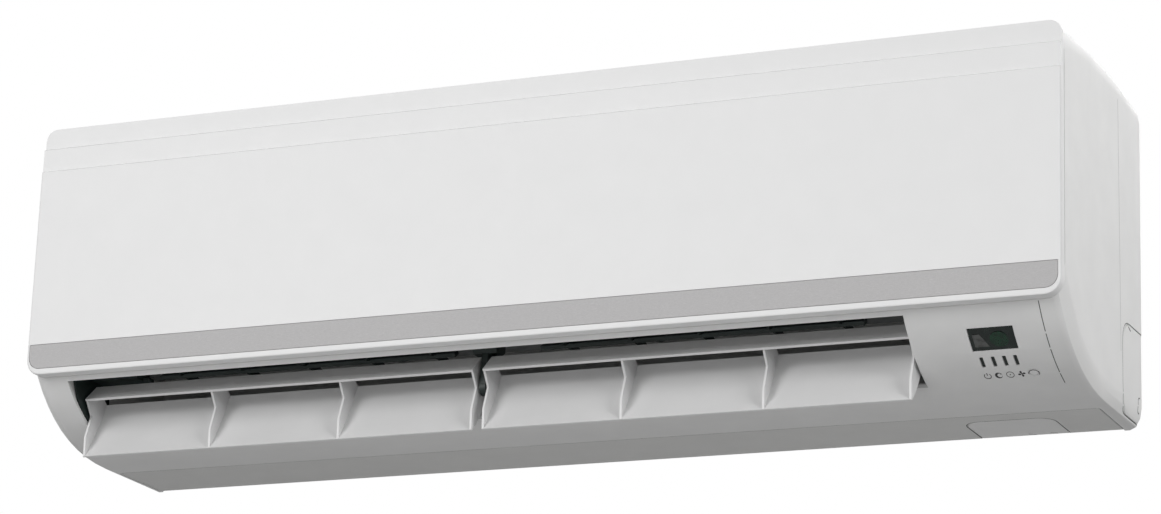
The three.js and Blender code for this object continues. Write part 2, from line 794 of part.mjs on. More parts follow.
function buildChassis() {
  const floorLip = ductFloorLip;
  const floorNormal = scrollLine(0, 1)[1].clone().sub(floorLip).normalize();
  const ductFloorTop = floorLip.clone().add(new THREE.Vector2(-floorNormal.y, floorNormal.x).multiplyScalar(scrollWall));
  const scroll = prismX(
    [...scrollLine(0, 8), ductFloorTop, floorLip, ...scrollLine(scrollWall, 8).reverse()],
    cheekLeft - cheekWall,
    cheekRight + cheekWall,
  );
  const sheetOutline = roundedRectangle(
    -chassisHalf,
    chassisHalf,
    bottomZ + channelUp,
    bottomZ + chassisTopUp,
    1,
    sheetCorner,
  );
  const sheet = prismY(sheetOutline, backSheetY - scrollWall, backSheetY);
  const scrollTop = onFan(scrollStartDegrees, fanRadius + scrollGap);
  const gutter = prismX(
    [
      scrollTop,
      scrollTop.clone().add(new THREE.Vector2(0.6, 5)),
      scrollTop.clone().add(new THREE.Vector2(2.8, 5)),
      scrollTop.clone().add(new THREE.Vector2(4, 0.4)),
      new THREE.Vector2(backSheetY - 1, scrollTop.y + 0.4),
      new THREE.Vector2(backSheetY - 1, scrollTop.y - 2),
    ],
    cheekLeft - cheekWall,
    cheekRight + cheekWall,
  );
  const floorHalf = halfWidth - floorSeamInset - seam;
  const floorFront = frontY + floorSeamBack + seam;
  const floor = block(-floorHalf, floorHalf, floorFront, backSheetY, bottomZ, bottomZ + wall);
  // upright wall in front of the pipe channel, from the floor up into the scroll
  const channelY = frontY + channelBack;
  const channelTop = scrollLine(scrollWall / 2, 60).reduce((near, point) =>
    Math.abs(point.x - channelY) < Math.abs(near.x - channelY) && point.y < fanCentre.y ? point : near,
  );
  const channelWall = block(
    cheekLeft - cheekWall,
    cheekRight - cheekWall,
    channelY - scrollWall,
    channelY,
    bottomZ,
    channelTop.y,
  );
  let chassis = [sheet, gutter, floor, channelWall].map(solidOf).reduce((sum, part) => sum.add(part), solidOf(scroll));
  for (const [from, to] of [
    [cheekLeft - cheekWall, cheekLeft],
    [cheekRight, cheekRight + cheekWall],
  ])
    chassis = chassis.add(solidOf(prismX(cheekOutline(), from, to)));
  // ribs tie the scroll to the back sheet, above the pipe channel
  const ribX = [cheekLeft - cheekWall, -160, 74, cheekRight];
  const ribFront = (degrees) => onFan(degrees, fanRadius + scrollGap + scrollGrowth * 0.5);
  for (const x of ribX)
    chassis = chassis.add(
      solidOf(
        prismX(
          [
            ribFront(30),
            ribFront(0),
            ribFront(-22),
            new THREE.Vector2(backSheetY - 1, bottomZ + channelUp),
            new THREE.Vector2(backSheetY - 1, scrollTop.y - 1),
          ],
          x,
          x + cheekWall,
        ),
      ).subtract(solidOf(rodX(fanCentre, fanRadius + scrollGap + 1.5, x - 1, x + cheekWall + 1, 16))),
    );
  // motor bed: two saddles under the motor, held by the back sheet
  for (const x of motorSaddleXs) {
    const saddle = prismX(
      [
        ...arcOnFan(0, -180, motorRadius + motorSeatGap, 10),
        ...arcOnFan(-180, -40, motorRadius + saddleWall, 5),
        new THREE.Vector2(backSheetY - 1, bottomZ + channelUp + 4),
        new THREE.Vector2(backSheetY - 1, fanCentre.y),
      ],
      x,
      x + cheekWall,
    );
    chassis = chassis.add(solidOf(saddle));
  }
  // a beam joins the saddles in front and carries the control box
  const beamFront = onFan(-150, motorRadius + saddleWall);
  chassis = chassis.add(
    solidOf(
      block(
        motorSaddleXs[0],
        motorSaddleXs[1] + cheekWall,
        frontY + controlBox.back[1] - 12,
        beamFront.x + 6,
        bottomZ + controlBox.up[0] - joint - 3,
        bottomZ + controlBox.up[0] - joint,
      ),
    ),
  );
  // pads between the saddles take the clamp's screws
  for (const y of clampPadYs)
    chassis = chassis.add(
      solidOf(block(motorSaddleXs[0], motorSaddleXs[1] + cheekWall, y - 3.6, y + 3.6, fanCentre.y - 9, fanCentre.y)),
    );
  // openings: bearing seat, motor shaft, louver shafts, plate hooks, floor knock-out
  const holes = [
    rodX(fanCentre, shaftHole, cheekLeft - 9, cheekLeft + 1, 24),
    rodX(fanCentre, shaftRadius + 3, cheekRight - 1, cheekRight + 9, 16),
    rodX(louverPivot, louverPinRadius + running, cheekLeft - 9, cheekLeft + 1, 12),
    rodX(louverPivot, louverPinRadius + running, cheekRight - 1, cheekRight + 9, 12),
    floorKnockOutForm(seam),
    ...clampPadYs.map((y) => rodZ(clampScrewRadius + joint, fanCentre.y - 7, fanCentre.y + 1, 8).translate(clampX, y, 0)),
    ...hookXs.map((x) =>
      block(x - hookWidth / 2 - 2, x + hookWidth / 2 + 2, -20, 1, hookZ - hookRise - 3, hookZ + joint),
    ),
  ];
  for (const hole of holes) chassis = chassis.subtract(solidOf(hole));
  return geometryOf(chassis);
}

const hookZ = wallPlateHeight / 2 + 2;
const motorLeft = cheekRight + motorFromDuct;
const motorSaddleXs = [motorLeft + 6, motorLeft + motorLength - 10];
const saddleWall = 8;
const clampX = motorLeft + motorLength / 2;
const clampScrewRadius = 2;
const clampPadYs = [-1, 1].map((side) => fanCentre.x + side * (motorRadius + 6.5));
const floorKnockOutForm = (grow) =>
  prismZ(
    roundedRectangle(
      floorKnockOut.x[0] - grow,
      floorKnockOut.x[1] + grow,
      frontY + floorKnockOut.back[0] - grow,
      frontY + floorKnockOut.back[1],
      floorKnockOut.corner,
    ),
    bottomZ - 3,
    bottomZ + wall + 3,
  );

piece("rear_chassis", buildChassis(), finishes.chassis);
piece(
  "floor_knockout",
  common(floorKnockOutForm(0), block(-500, 500, frontY, backSheetY, bottomZ, bottomZ + wall)),
  finishes.white,
);

// ---------------------------------------------------------------- wall plate
function buildWallPlate() {
  const plate = roundedRectangle(-wallPlateWidth / 2, wallPlateWidth / 2, -wallPlateHeight / 2, wallPlateHeight / 2, 8);
  const centreHole = 60;
  for (const side of [-1, 1]) {
    for (const [x, z] of [
      [centreHole, 58],
      [170, 58],
      [290, 58],
      [centreHole, -60],
      [290, -60],
    ])
      plate.holes.push(new THREE.Path(circlePoints(new THREE.Vector2(side * x, z), 3, 6)));
    plate.holes.push(roundedRectangle(side * 175 - 37, side * 175 + 37, -34, 26, 6));
  }
  let sheet = solidOf(prismY(plate, -wallPlateThickness, 0, 2));
  for (const x of hookXs) {
    const hook = prismX(
      [
        new THREE.Vector2(0, wallPlateHeight / 2 - 3),
        new THREE.Vector2(0, hookZ),
        new THREE.Vector2(hookTipY + wallPlateThickness, hookZ),
        new THREE.Vector2(hookTipY + wallPlateThickness, hookZ + hookRise),
        new THREE.Vector2(hookTipY, hookZ + hookRise),
        new THREE.Vector2(hookTipY, hookZ - wallPlateThickness),
        new THREE.Vector2(-wallPlateThickness, hookZ - wallPlateThickness),
        new THREE.Vector2(-wallPlateThickness, wallPlateHeight / 2 - 3),
      ],
      x - hookWidth / 2,
      x + hookWidth / 2,
    );
    sheet = sheet.add(solidOf(hook));
  }
  return geometryOf(sheet);
}
piece("wall_plate", buildWallPlate(), finishes.steel);

// Carries a shape drawn along the roof (Y) and square into the duct (Z) to its place.
const ductFrame = () =>
  new THREE.Matrix4()
    .makeBasis(
      new THREE.Vector3(1, 0, 0),
      new THREE.Vector3(0, downDuct.x, downDuct.y),
      new THREE.Vector3(0, intoDuct.x, intoDuct.y),
    )
    .setPosition(0, tongueTip.x, tongueTip.y);

// Places of the vanes along the width, group by group.
const groupXs = (side) =>
  Array.from(
    { length: vanesPerGroup },
    (_, i) => vaneGroupXs[side] + (i - (vanesPerGroup - 1) / 2) * vanePitch,
  );
const vaneXs = () => [...groupXs("left"), ...groupXs("right")];

// ---------------------------------------------------------------- drain pan, which is also the duct's roof
function buildPan() {
  const from = cheekLeft - panEndOver;
  const to = cheekRight + panEndOver;
  const frontOfPan = roofLip.x;
  const tongue = arcOnFan(tongueDegrees, panRearDegrees, fanRadius + tongueGap, 4);
  const tongueInner = arcOnFan(panRearDegrees, tongueDegrees, fanRadius + tongueGap + panWall, 4);
  const innerRear = fromTongue(panWall * 1.2, -panWall);
  const innerFront = fromTongue(roofLength - panWall * 1.2, -panWall);
  const trough = prismX(
    [
      roofLip,
      ...tongue,
      ...tongueInner.slice(0, -1),
      innerRear,
      innerFront,
      new THREE.Vector2(frontOfPan + panWall, bottomZ + panFrontUp),
      new THREE.Vector2(frontOfPan, bottomZ + panFrontUp),
    ],
    from,
    to,
  );
  const endOutline = [
    roofLip,
    tongueTip,
    ...tongueInner.slice(0, 1),
    new THREE.Vector2(frontOfPan, bottomZ + panFrontUp),
  ];
  let pan = solidOf(trough);
  for (const [a, b] of [
    [from, from + panWall],
    [to - panWall, to],
  ])
    pan = pan.add(solidOf(prismX(endOutline, a, b)));
  // drain spouts at both ends; the left one is closed by a plug
  for (const [a, b, c] of [
    [from - spoutLength, from + 1, -1],
    [to - 1, to + spoutLength, 1],
  ]) {
    pan = pan.add(solidOf(rodX(spoutCentre, spoutRadius, a, b)));
    const boreFrom = c < 0 ? a - 1 : to - panWall - 1;
    const boreTo = c < 0 ? from + panWall + 1 : b + 1;
    pan = pan.subtract(solidOf(rodX(spoutCentre, spoutRadius - 1.6, boreFrom, boreTo)));
  }
  // blind sockets for the vanes' pivots, in the roof
  for (const x of vaneXs()) {
    const socket = rodZ(vanePivotRadius + running, -vanePivotLength - joint, 2, 6).translate(x, vanePivotAlong, 0);
    pan = pan.subtract(solidOf(socket.applyMatrix4(ductFrame())));
  }
  return geometryOf(pan);
}
const spoutRadius = 7;
const spoutLength = 8;
const spoutCentre = fromTongue(roofLength - 17, -(panWall + spoutRadius - 1));
const spoutEnd = cheekLeft - panEndOver - spoutLength;
piece("drain_pan", buildPan(), finishes.chassis);
piece(
  "drain_plug",
  fuse(
    rodX(spoutCentre, spoutRadius - 1.6 - joint, spoutEnd - 1, spoutEnd + 6),
    rodX(spoutCentre, spoutRadius + 0.6, spoutEnd - 3.5, spoutEnd - joint),
  ),
  finishes.rubber,
);

// ---------------------------------------------------------------- fan, bearing and motor
const fanLeft = outletLeftX + fanGapLeft;
const fanRight = outletRightX - fanGapRight;

function buildFan() {
  const inner = fanRadius - fanBladeDepth;
  const camber = 3.2;
  const thickness = 1.1;
  const bladeSection = (i) => {
    const start = (360 * i) / fanBlades;
    const lean = 17;
    const foot = onFan(start, inner + 1.5);
    const tip = onFan(start + lean, fanRadius - 0.6);
    const middle = foot.clone().lerp(tip, 0.5);
    const along = tip.clone().sub(foot).normalize();
    const out = new THREE.Vector2(-along.y, along.x);
    return [
      foot,
      middle.clone().addScaledVector(out, -camber),
      tip,
      middle.clone().addScaledVector(out, -camber + thickness * 1.4),
    ];
  };
  let fan;
  for (let i = 0; i < fanBlades; i++) {
    const blade = solidOf(prismX(bladeSection(i), fanLeft + 0.5, fanRight - 0.5));
    fan = fan ? fan.add(blade) : blade;
  }
  const bay = (fanRight - fanLeft - fanRingThickness) / fanBays;
  for (let i = 0; i <= fanBays; i++) {
    const x = fanLeft + i * bay;
    const isEnd = i === 0 || i === fanBays;
    const ring = outlineShape(circlePoints(fanCentre, fanRadius, 20), isEnd ? [] : [circlePoints(fanCentre, inner, 14)]);
    const disc = new THREE.ExtrudeGeometry(ring, { depth: fanRingThickness, bevelEnabled: false });
    fan = fan.add(
      solidOf(disc.applyMatrix4(new THREE.Matrix4().set(0, 0, 1, x, 1, 0, 0, 0, 0, 1, 0, 0, 0, 0, 0, 1))),
    );
  }
  // stub shaft at the left, hub for the motor shaft at the right
  fan = fan.add(solidOf(rodX(fanCentre, shaftRadius, cheekLeft - 6, fanLeft + 1)));
  fan = fan.add(solidOf(rodX(fanCentre, 12, fanRight - 22, fanRight - 1, 12)));
  fan = fan.subtract(solidOf(rodX(fanCentre, shaftRadius + joint, fanRight - 18, fanRight + 1)));
  return geometryOf(fan);
}
piece("cross_flow_fan", buildFan(), finishes.fan);

// A turned part about the fan's axis: radius and place along X.
function turnedOnFan(profile, segments = 16) {
  const geometry = new THREE.LatheGeometry(profile.map(([radius, x]) => new THREE.Vector2(radius, x)), segments);
  geometry.rotateZ(-Math.PI / 2).rotateX(Math.PI);
  return geometry.translate(0, fanCentre.x, fanCentre.y);
}

const ring = (inner, outer, from, to) => [
  [inner, from],
  [outer, from],
  [outer, to],
  [inner, to],
  [inner, from],
];
piece(
  "fan_bearing",
  turnedOnFan(ring(shaftRadius + running, bearingRadius, cheekLeft - 5, cheekLeft - 0.4)),
  finishes.steel,
);
piece(
  "bearing_holder",
  turnedOnFan([
    [bearingRadius + joint, cheekLeft - 6],
    [bearingHolderRadius, cheekLeft - 6],
    [bearingHolderRadius, cheekLeft + 1.2],
    [bearingRadius - 3, cheekLeft + 1.2],
    [bearingRadius - 3, cheekLeft],
    [bearingRadius + joint, cheekLeft],
    [bearingRadius + joint, cheekLeft - 6],
  ]),
  finishes.rubber,
);
piece(
  "fan_motor",
  turnedOnFan([
    [shaftRadius + running, motorLeft],
    [14, motorLeft],
    [14, motorLeft + 3],
    [motorRadius - 5, motorLeft + 3],
    [motorRadius, motorLeft + 8],
    [motorRadius, motorLeft + motorLength - 5],
    [motorRadius - 5, motorLeft + motorLength],
    [0, motorLeft + motorLength],
    [0, motorLeft + 34],
    [shaftRadius + running, motorLeft + 34],
    [shaftRadius + running, motorLeft],
  ]),
  finishes.steel,
);
piece("motor_shaft", rodX(fanCentre, shaftRadius, fanRight - 17.5, motorLeft + 33), finishes.steel);

// Strap over the motor, screwed down on the saddles' pads.
const clampWidth = 14;
const clampThickness = 2;
function buildClamp() {
  const strap = prismX(
    [
      ...arcOnFan(2, 178, motorRadius + motorSeatGap, 10),
      ...arcOnFan(178, 2, motorRadius + motorSeatGap + clampThickness, 10),
    ],
    clampX - clampWidth / 2,
    clampX + clampWidth / 2,
  );
  const footFrom = fanCentre.y + joint;
  const feet = clampPadYs.map((y) =>
    block(
      motorSaddleXs[0],
      motorSaddleXs[1] + cheekWall,
      Math.min(y - 3.6, fanCentre.x + motorRadius + motorSeatGap + 0.4),
      Math.max(y + 3.6, fanCentre.x - motorRadius - motorSeatGap - 0.4),
      footFrom,
      footFrom + clampThickness,
    ),
  );
  const holes = clampPadYs.map((y) =>
    rodZ(clampScrewRadius + joint, footFrom - 2, footFrom + 4, 8).translate(clampX, y, 0),
  );
  return cut(fuse(strap, ...feet), ...holes);
}
piece("motor_clamp", buildClamp(), finishes.steel);
clampPadYs.forEach((y, i) => {
  const seat = fanCentre.y + joint + clampThickness + joint;
  const screw = fuse(rodZ(clampScrewRadius, fanCentre.y - 6, seat + 1, 8), rodZ(3.2, seat, seat + 2.4, 8));
  piece(`clamp_screw_${i ? "rear" : "front"}`, screw.translate(clampX, y, 0), finishes.steel);
});

// ---------------------------------------------------------------- louvers
// Points of the wide blade's two faces, from its upper edge to its lower one.
function bladeFace(sag, shift) {
  const top = at(...louverTop);
  const tip = at(...louverTip);
  const rear = new THREE.Vector2(tip.y - top.y, top.x - tip.x).normalize().negate();
  const middle = top.clone().lerp(tip, 0.5).addScaledVector(rear, sag);
  const curve = new THREE.QuadraticBezierCurve(
    top.clone().addScaledVector(rear, shift),
    middle.addScaledVector(rear, shift),
    tip.clone().addScaledVector(rear, shift),
  );
  return curve.getPoints(6);
}

const slatRoot = new THREE.Vector2(-0.35, 0.5); // ribs end inside the slat
const louverRibOutline = [
  at(...slatFront).add(slatRoot),
  at(...ribKnee),
  at(...ribWaist),
  ...bladeFace(louverFrontSag, 0.3).reverse(),
  at(...slatBack).add(slatRoot),
];

function slatOutline() {
  const front = at(...slatFront);
  const back = at(...slatBack);
  const along = back.clone().sub(front).normalize();
  const up = new THREE.Vector2(-along.y, along.x).multiplyScalar(slatThickness);
  const low = front.clone().addScaledVector(along, -0.6);
  return [low, back, back.clone().add(up), low.clone().addScaledVector(up, 0.8)];
}

function buildLouver(from, to, pinFrom, pinTo) {
  const blade = prismX([...bladeFace(louverFrontSag, 0), ...bladeFace(louverBackSag, louverEdge).reverse()], from, to);
  let louver = solidOf(blade).add(solidOf(prismX(slatOutline(), from, to)));
  const pitch = (to - from - louverRibThickness) / louverBays;
  for (let i = 0; i <= louverBays; i++) {
    const x = from + i * pitch;
    louver = louver.add(solidOf(prismX(louverRibOutline, x, x + louverRibThickness)));
  }
  louver = louver.add(solidOf(rodX(louverPivot, louverPinRadius, pinFrom, from + 0.8, 12)));
  louver = louver.add(solidOf(rodX(louverPivot, louverPinRadius, to - 0.8, pinTo, 12)));
  return geometryOf(louver);
}
const louverSpans = {
  left: [outletLeftX + louverGap, louverMiddleX - louverMiddleGap / 2],
  right: [louverMiddleX + louverMiddleGap / 2, outletRightX - louverGap],
};
piece(
  "louver_left",
  buildLouver(...louverSpans.left, outletLeftX - 3, louverMiddleX - joint / 2),
  finishes.louver,
);
piece(
  "louver_right",
  buildLouver(...louverSpans.right, louverMiddleX + joint / 2, cheekRight + cheekWall + 3),
  finishes.louver,
);

// Bracket between the louvers: a foot under the duct roof and an arm down to a ring round the pins.
const bracketFootWidth = 19;
const bracketArmWidth = 5;
function buildBracket() {
  const roofAt = (back) => fromTongue(roofLength * ((66 - back) / (66 - 13)), joint);
  const foot = prismX(
    [roofAt(45), roofAt(61), at(61, 53), at(57, 50), at(47, 50), at(45, 53)],
    louverMiddleX - bracketFootWidth / 2,
    louverMiddleX + bracketFootWidth / 2,
  );
  const arm = prismX(
    section([[47, 52], [57, 52], [55.5, 28], [54, 22], [46, 22], [44.5, 28]]),
    louverMiddleX - bracketArmWidth / 2,
    louverMiddleX + bracketArmWidth / 2,
  );
  const eye = rodX(louverPivot, louverPinRadius + 3, louverMiddleX - bracketArmWidth / 2, louverMiddleX + bracketArmWidth / 2);
  const hole = rodX(louverPivot, louverPinRadius + running, louverMiddleX - 9, louverMiddleX + 9);
  return cut(fuse(foot, arm, eye), hole);
}
piece("louver_bracket", buildBracket(), finishes.dark);

// Liner of the duct's left end, with the bush for the louver's pin.
function buildLiner() {
  const outline = [
    fromTongue(roofLength - 6, 3),
    fromTongue(2, 3),
    at(72, 62),
    at(74, 22),
    ...[66, 56, 46, 36, 27].map((back) => {
      const { point, inward } = belly(back);
      return point.addScaledVector(inward, wall + 1.2);
    }),
  ];
  return cut(
    prismX(outline, cheekLeft + joint, outletLeftX),
    rodX(louverPivot, louverPinRadius + running, cheekLeft - 3, outletLeftX + 3, 12),
  );
}
piece("duct_liner_left", buildLiner(), finishes.dark);

// Filler that blanks the duct beyond the last vane at the left.
const fillerRightX = -331;
piece(
  "duct_filler_left",
  fuse(
    prismX(
      [fromTongue(roofLength - 24, joint), fromTongue(1, joint), at(66, 66), at(64, 52), at(46, 52)],
      outletLeftX + joint,
      fillerRightX,
    ),
    block(fillerRightX - 1, fillerRightX + 5, frontY + 56, frontY + 63, bottomZ + 52, bottomZ + 54.5),
  ),
  finishes.dark,
);

// Stepping motor that turns the louvers, with its shaft off its centre.
const stepMotorCentre = at(louverPivotBack + 3, louverPivotUp + 9);
piece(
  "louver_motor",
  cut(
    fuse(
      rodX(stepMotorCentre, 14, cheekRight + cheekWall + joint, cheekRight + cheekWall + 19, 16),
      block(
        cheekRight + cheekWall + joint,
        cheekRight + cheekWall + 1.3,
        stepMotorCentre.x - 4,
        stepMotorCentre.x + 4,
        stepMotorCentre.y,
        stepMotorCentre.y + 18,
      ),
    ),
    rodX(louverPivot, louverPinRadius + running, cheekRight, cheekRight + cheekWall + 8, 12),
  ),
  finishes.steel,
);

// ---------------------------------------------------------------- vanes and their link bars
const slotHeight = linkThickness / 2 + running;
const slotDepth = linkWidth / 2 + 2;
function buildVane() {
  const plate = prismX(
    vaneOutline.map(([along, deep]) => new THREE.Vector2(along, deep)),
    -vaneThickness / 2,
    vaneThickness / 2,
  );
  const slot = block(-9, 9, linkAlong - slotDepth, linkAlong + 20, linkDepth - slotHeight, linkDepth + slotHeight);
  const pin = rodZ(linkPinRadius, linkDepth - slotHeight - 0.5, linkDepth + slotHeight + 0.5, 5).translate(0, linkAlong, 0);
  const pivot = rodZ(vanePivotRadius, -vanePivotLength, 3, 6).translate(0, vanePivotAlong, 0);
  return fuse(cut(plate, slot), pin, pivot).applyMatrix4(ductFrame());
}

function buildLinkBar() {
  const span = (vanesPerGroup - 1) * vanePitch;
  const bar = block(
    -span / 2 - linkTailLeft,
    span / 2 + linkTailRight,
    linkAlong - linkWidth / 2,
    linkAlong + linkWidth / 2,
    linkDepth - linkThickness / 2,
    linkDepth + linkThickness / 2,
  );
  const holes = Array.from({ length: vanesPerGroup }, (_, i) =>
    rodZ(linkPinRadius + running, linkDepth - 9, linkDepth + 9, 6).translate(-span / 2 + i * vanePitch, linkAlong, 0),
  );
  return cut(bar, ...holes).applyMatrix4(ductFrame());
}

const vane = buildVane();
const linkBar = buildLinkBar();
for (const side of ["left", "right"]) {
  groupXs(side).forEach((x, i) => {
    piece(`vane_${side}_${i + 1}`, vane, finishes.dark).position.x = x;
  });
  piece(`link_bar_${side}`, linkBar, finishes.dark).position.x = vaneGroupXs[side];
}

// ---------------------------------------------------------------- heat exchanger
const coilLeft = outletLeftX + coilEndLeft;
const coilRight = outletRightX - coilEndRight;
const panFloorUp = (back) => {
  const along = (roofLip.x - (frontY + back)) / (roofLip.x - tongueTip.x);
  return roofLip.y + (tongueTip.y - roofLip.y) * along + panWall / -downDuct.x - bottomZ;
};
const coilFoot = at(coilFrontBack, panFloorUp(coilFrontBack + coilThickness / 2 + coilPlateMargin) + coilPlateMargin + joint);
const coilKnee = at(coilFrontBack, coilKneeUp);
const ridge = at(...coilRidge);
const packs = [
  { name: "coil_front_lower", from: coilFoot, to: coilKnee },
  { name: "coil_front_upper", from: coilKnee.clone().add(new THREE.Vector2(5, 6)), to: ridge.clone().add(new THREE.Vector2(-coilRidgeGap, -1)) },
  { name: "coil_rear", from: ridge.clone().add(new THREE.Vector2(coilRidgeGap, -1)), to: at(...coilRearEnd) },
];

// A pack's outline, grown by a margin, and the direction that faces the filters.
function packOutline({ from, to }, margin = 0) {
  const along = to.clone().sub(from).normalize();
  const outward = new THREE.Vector2(-along.y, along.x);
  const half = coilThickness / 2 + margin;
  const a = from.clone().addScaledVector(along, -margin);
  const b = to.clone().addScaledVector(along, margin);
  const corners = [
    a.clone().addScaledVector(outward, half),
    a.clone().addScaledVector(outward, -half),
    b.clone().addScaledVector(outward, -half),
    b.clone().addScaledVector(outward, half),
  ];
  return { along, outward, corners };
}

function buildPack(pack) {
  const { outward, corners } = packOutline(pack);
  let fins = solidOf(prismX(corners, coilLeft, coilRight));
  const pitch = (coilRight - coilLeft) / finGrooves;
  const deep = outward.clone().multiplyScalar(-finGrooveDepth);
  const proud = outward.clone().multiplyScalar(2);
  const [a, , , b] = corners;
  const groove = [a.clone().add(proud), a.clone().add(deep), b.clone().add(deep), b.clone().add(proud)];
  const lengthen = pack.to.clone().sub(pack.from).normalize().multiplyScalar(2);
  groove[0].sub(lengthen);
  groove[1].sub(lengthen);
  groove[2].add(lengthen);
  groove[3].add(lengthen);
  for (let i = 0; i < finGrooves; i++) {
    const x = coilLeft + (i + 0.5) * pitch;
    fins = fins.subtract(solidOf(prismX(groove, x - pitch / 4, x + pitch / 4)));
  }
  return geometryOf(fins);
}
for (const pack of packs) piece(pack.name, buildPack(pack), finishes.aluminium);

// End plate across the three packs, with the tubes' return bends on its outer side.
function buildCoilPlate(side) {
  const face = side < 0 ? coilLeft - joint : coilRight + joint;
  const outer = face + side * coilPlate;
  let plate;
  for (const pack of packs) {
    const leaf = solidOf(prismX(packOutline(pack, coilPlateMargin).corners, Math.min(face, outer), Math.max(face, outer)));
    plate = plate ? plate.add(leaf) : leaf;
    const { along } = packOutline(pack);
    const length = pack.from.distanceTo(pack.to);
    const bends = Math.floor(length / (2 * tubePitch));
    for (let i = 0; i < bends; i++) {
      const start = (length - (2 * bends - 1) * tubePitch) / 2 + 2 * i * tubePitch;
      const centre = pack.from.clone().addScaledVector(along, start + tubePitch / 2);
      const points = [];
      const steps = 3;
      points.push([0, -1]);
      for (let k = 0; k <= steps; k++) {
        const turn = (Math.PI * k) / steps;
        points.push([3 + (Math.sin(turn) * tubePitch) / 2, -Math.cos(turn)]);
      }
      points.push([0, 1]);
      const route = points.map(([out, across]) => {
        const place = centre.clone().addScaledVector(along, (across * tubePitch) / 2);
        return new THREE.Vector3(face + side * (0.3 + out), place.x, place.y);
      });
      plate = plate.add(solidOf(tubeThrough(route, tubeRadius, 5)));
    }
  }
  return geometryOf(plate);
}
piece("coil_plate_left", buildCoilPlate(-1), finishes.copper);
piece("coil_plate_right", buildCoilPlate(1), finishes.copper);

// Refrigerant pipes: out of the coil's right end, down beside the motor and along the channel.
const pipes = {
  gas: { radius: gasPipeRadius, start: [154.5, 177.5], drop: [354, 166, 24], end: -60, nut: 12 },
  liquid: { radius: liquidPipeRadius, start: [121, 211], drop: [368, 180, 42], end: -20, nut: 9 },
};
const nutLength = 20;
for (const [name, { radius, start, drop, end, nut }] of Object.entries(pipes)) {
  const [dropX, dropBack, dropUp] = drop;
  const place = (x, back, up) => new THREE.Vector3(x, frontY + back, bottomZ + up);
  const corners = [
    place(coilRight + joint + coilPlate + joint, ...start),
    place(dropX, ...start),
    place(dropX, dropBack, start[1] - 40),
    place(dropX, dropBack, dropUp),
    place(end, dropBack, dropUp),
  ];
  piece(`${name}_pipe`, tubeThrough(bentRoute(corners, pipeBend, 3), radius, 8), finishes.copper);
  const centre = at(dropBack, dropUp);
  const from = end - nutLength / 2;
  piece(
    `${name}_flare_nut`,
    cut(
      rodX(centre, nut, from, from + nutLength, 6),
      rodX(centre, radius + joint, end - joint, from + nutLength + 1, 12),
      rodX(centre, radius - 0.8, from - 1, end + 1, 12),
    ),
    finishes.brass,
  );
}

// ---------------------------------------------------------------- filters
const filterBack = frameFront + wall + 3.4; // middle of the filter where it stands behind the front wall
function filterLine() {
  const foot = at(filterBack, panFrontUp + joint);
  const knee = at(filterBack, filterKneeUp);
  const end = at(...filterEnd);
  const bend = new THREE.QuadraticBezierCurve(knee, at(filterBack, filterEnd[1] - 5), end);
  return [foot, ...bend.getPoints(9)];
}

function buildFilter(from, to) {
  const line = filterLine();
  const normals = line.map((point, i) => {
    const along = line[Math.min(i + 1, line.length - 1)].clone().sub(line[Math.max(i - 1, 0)]).normalize();
    return new THREE.Vector2(-along.y, along.x);
  });
  const offset = (i, by) => line[i].clone().addScaledVector(normals[i], by);
  const half = filterThickness / 2;
  const strip = [...line.map((_, i) => offset(i, half)), ...line.map((_, i) => offset(i, -half)).reverse()];
  let filter = solidOf(prismX(strip, from, to));
  // windows for the mesh, between points along the line
  const stops = line.length - 1;
  const cellWidth = (to - from - 2 * filterFrame + filterRib) / filterColumns;
  for (let row = 0; row < filterRows; row++) {
    const first = Math.round((row * stops) / filterRows);
    const last = Math.round(((row + 1) * stops) / filterRows);
    const path = [];
    for (let i = first; i <= last; i++) path.push(i);
    const shrink = (i, by) => {
      const toward = i === first ? line[i + 1] : line[i - 1];
      const gap = i === first && row === 0 ? filterFrame : i === last && row === filterRows - 1 ? filterFrame : filterRib;
      return i === first || i === last
        ? offset(i, by).add(toward.clone().sub(line[i]).normalize().multiplyScalar(gap / 2 + 0.2))
        : offset(i, by);
    };
    const tool = [...path.map((i) => shrink(i, 3)), ...path.map((i) => shrink(i, -3)).reverse()];
    for (let column = 0; column < filterColumns; column++) {
      const x = from + filterFrame + column * cellWidth;
      filter = filter.subtract(solidOf(prismX(tool, x, x + cellWidth - filterRib)));
    }
  }
  return geometryOf(filter);
}
const filterGap = 3;
piece("air_filter_left", buildFilter(outletLeftX + 6, louverMiddleX - filterGap), finishes.filter);
piece("air_filter_right", buildFilter(louverMiddleX + filterGap, outletRightX - 6), finishes.filter);

// ---------------------------------------------------------------- control side
function controlBlock(inset, frontInset = inset) {
  const { x, back, up } = controlBox;
  return block(
    x[0] + inset,
    x[1] - inset,
    frontY + back[0] + frontInset,
    frontY + back[1] - inset,
    bottomZ + up[0] + inset,
    bottomZ + up[1] - inset,
  );
}
const boardThickness = 1.6;
const boardBackY = frontY + controlBox.back[1] - boxWall - 3;
const boardPegs = [
  [controlBox.x[0] + 8, controlBox.up[0] + 8],
  [controlBox.x[1] - 8, controlBox.up[1] - 8],
  [controlBox.x[0] + 8, controlBox.up[1] - 8],
  [controlBox.x[1] - 8, controlBox.up[0] + 8],
];
piece(
  "control_box",
  fuse(
    cut(controlBlock(0), controlBlock(boxWall, -5)),
    ...boardPegs.map(([x, up]) =>
      block(x - 3, x + 3, boardBackY + joint, boardBackY + 4, bottomZ + up - 3, bottomZ + up + 3),
    ),
  ),
  finishes.boxGrey,
);
const coverY = frontY + controlBox.back[0] - joint;
